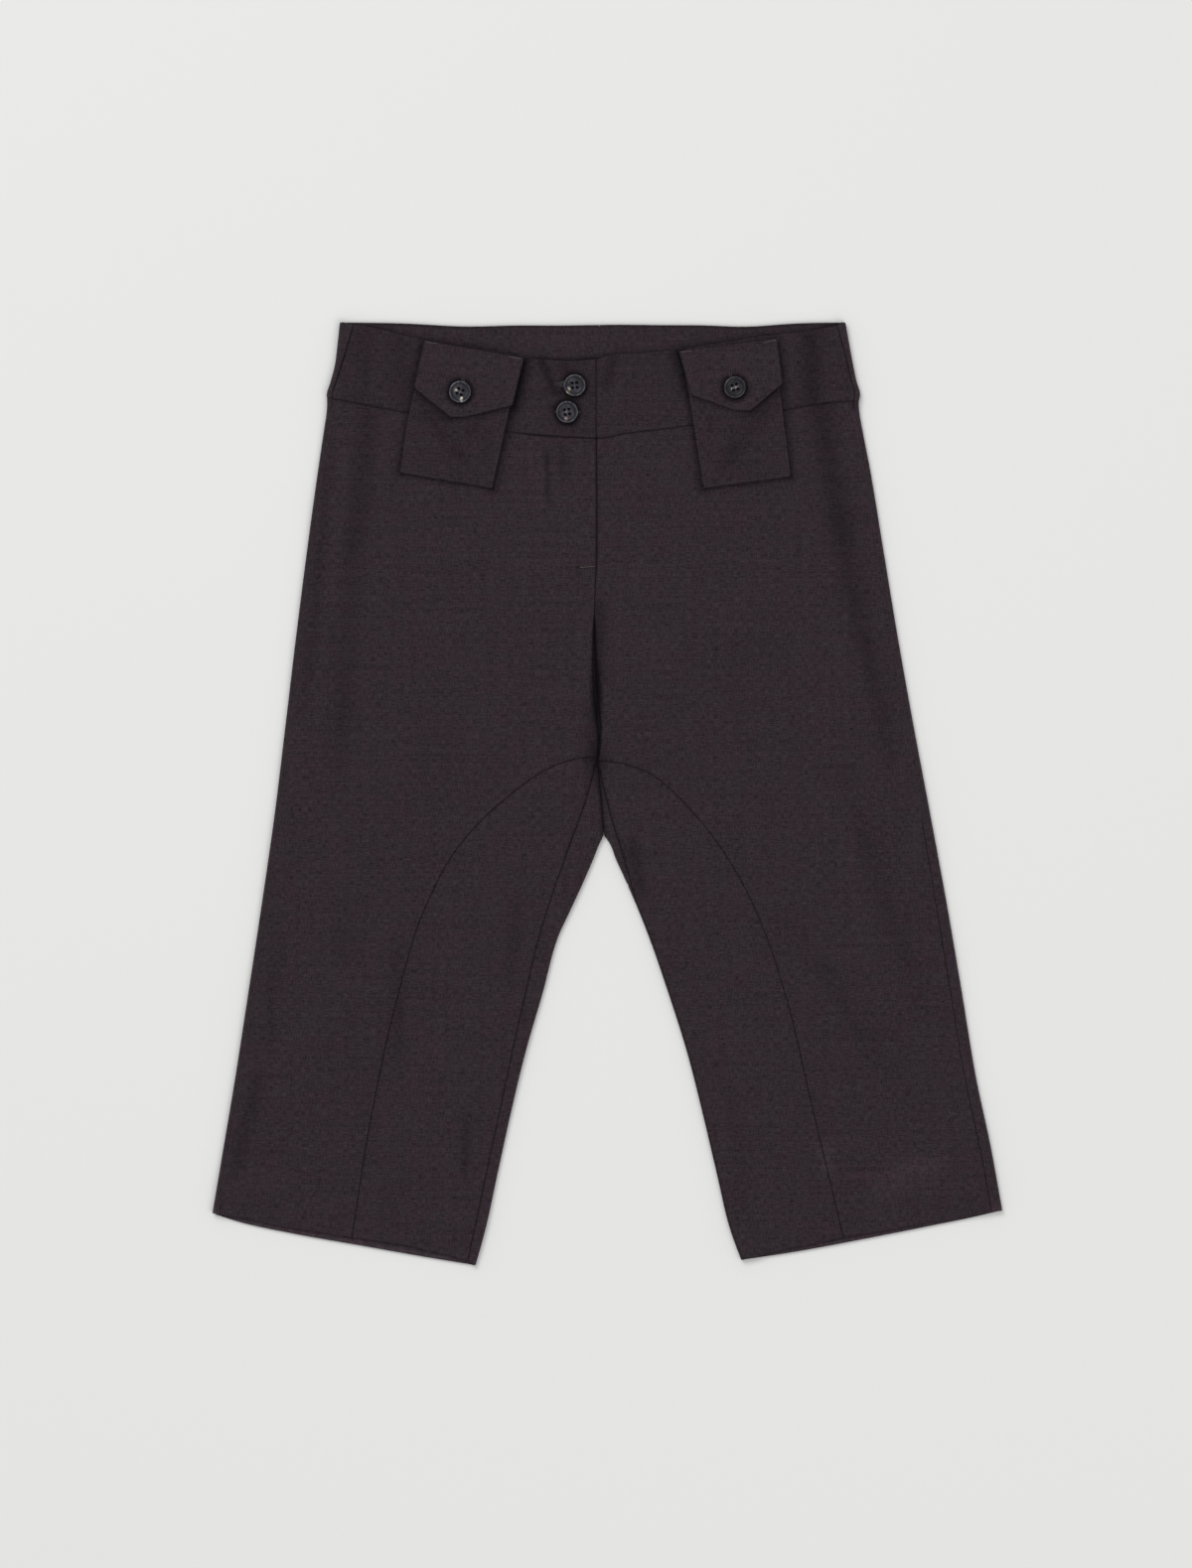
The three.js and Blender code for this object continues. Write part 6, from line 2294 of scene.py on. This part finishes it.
    def side_allowance(self) -> None:
        """The pressed allowance under the side seams, in a thread lighter than the cloth: painted light
        that keeps the seam lines faint where they lie flat.
        """
        for half, foot in ((RIGHT, -314.0), (LEFT, -20.0)):
            y = np.linspace(half.waist_fold_y - 5.0, foot, 240)
            line = half.side_fold.at(y) + half.side_inward(y) * half.side_seam_inset.away_at(y)[:, None]
            height = LIE.panel_height(half, line[:, 0], line[:, 1]) - self.side_fill_sink
            self.mid.add(place(half, line, height)[None], self.side_fill)

    def thread_loop(self) -> None:
        """A small twisted loop of thread beside the left flap."""
        share = np.linspace(0, 1, 60)
        surface = self.on_band(LEFT)
        for strand in (0, 1):
            turn = share * TAU * 3.5 + strand * math.pi
            plan = pair(lerp(63.6, 68.6, share) - 2.6 + 1.3 * np.sin(turn), lerp(336.5, 322.5, share))
            points = surface(plan)
            points[:, 2] += 0.5 + 0.3 * np.cos(turn)
            self.dark.add(points[None], 0.36)


# ---------------------------------------------------------------- the studio


@dataclass(frozen=True)
class Studio:
    """A pale floor, soft light from above and a camera that looks straight down."""

    view_height: float = 4.5
    lens: float = 134.46
    centre: tuple[float, float] = (CENTRE_FRONT_X, 7.6)
    floor_side: float = 9.0
    floor_drop: float = 0.4

    def build(self) -> None:
        """Makes the floor, the lights and the camera."""
        half = self.floor_side / 2 / MM
        corners = np.array([(-half, -half), (half, -half), (half, half), (-half, half)])
        points = np.column_stack([corners, np.full(4, -self.floor_drop)])
        floor = write("floor", points, np.array([[0, 1, 2, 3]]))
        floor.data.materials.append(Floor().make())
        self.light("key", (-2.2, 3.0, 4.6), 3.0, 144.0)
        self.light("fill", (2.6, -2.4, 4.8), 4.0, 98.0)
        self.world(0.5)
        self.camera()
        view = bpy.context.scene.view_settings
        view.view_transform = "Standard"
        view.look = "None"

    def light(self, name: str, spot: tuple[float, float, float], size: float, watts: float) -> None:
        """A square soft box that faces the middle of the garment."""
        lamp = bpy.data.lights.new(name, "AREA")
        lamp.shape = "SQUARE"
        lamp.size = size
        lamp.energy = watts
        made = bpy.data.objects.new(name, lamp)
        made.location = spot
        flat = math.hypot(spot[0], spot[1])
        made.rotation_euler = (math.atan2(flat, spot[2]), 0, math.atan2(spot[1], spot[0]) + math.pi / 2)
        bpy.context.scene.collection.objects.link(made)

    def world(self, strength: float) -> None:
        """An even pale sky."""
        world = bpy.data.worlds.new("studio")
        world.use_nodes = True
        back = world.node_tree.nodes["Background"]
        back.inputs["Color"].default_value = (1, 1, 1, 1)
        back.inputs["Strength"].default_value = strength
        bpy.context.scene.world = world

    def camera(self) -> None:
        """The camera, with its long side up the garment."""
        lens = bpy.data.cameras.new("camera")
        lens.lens = self.lens
        lens.sensor_width = 36.0
        made = bpy.data.objects.new("camera", lens)
        made.location = (self.centre[0] * MM, self.centre[1] * MM, self.view_height)
        bpy.context.scene.collection.objects.link(made)
        bpy.context.scene.camera = made


def main() -> None:
    """Builds the garment and the studio round the frame."""
    logging.basicConfig(level=logging.INFO, format="%(name)s: %(message)s")
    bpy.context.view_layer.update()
    log.info("the frame has %d nodes", len(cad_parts))
    Studio().build()
    wardrobe = Wardrobe()
    Legs(wardrobe).build()
    Waistband(wardrobe).build()
    pockets = Pockets(wardrobe)
    pockets.build()
    Buttons(wardrobe, pockets).build()
    Sewing(wardrobe, pockets).build()
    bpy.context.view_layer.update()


if __name__ == "__main__":
    main()
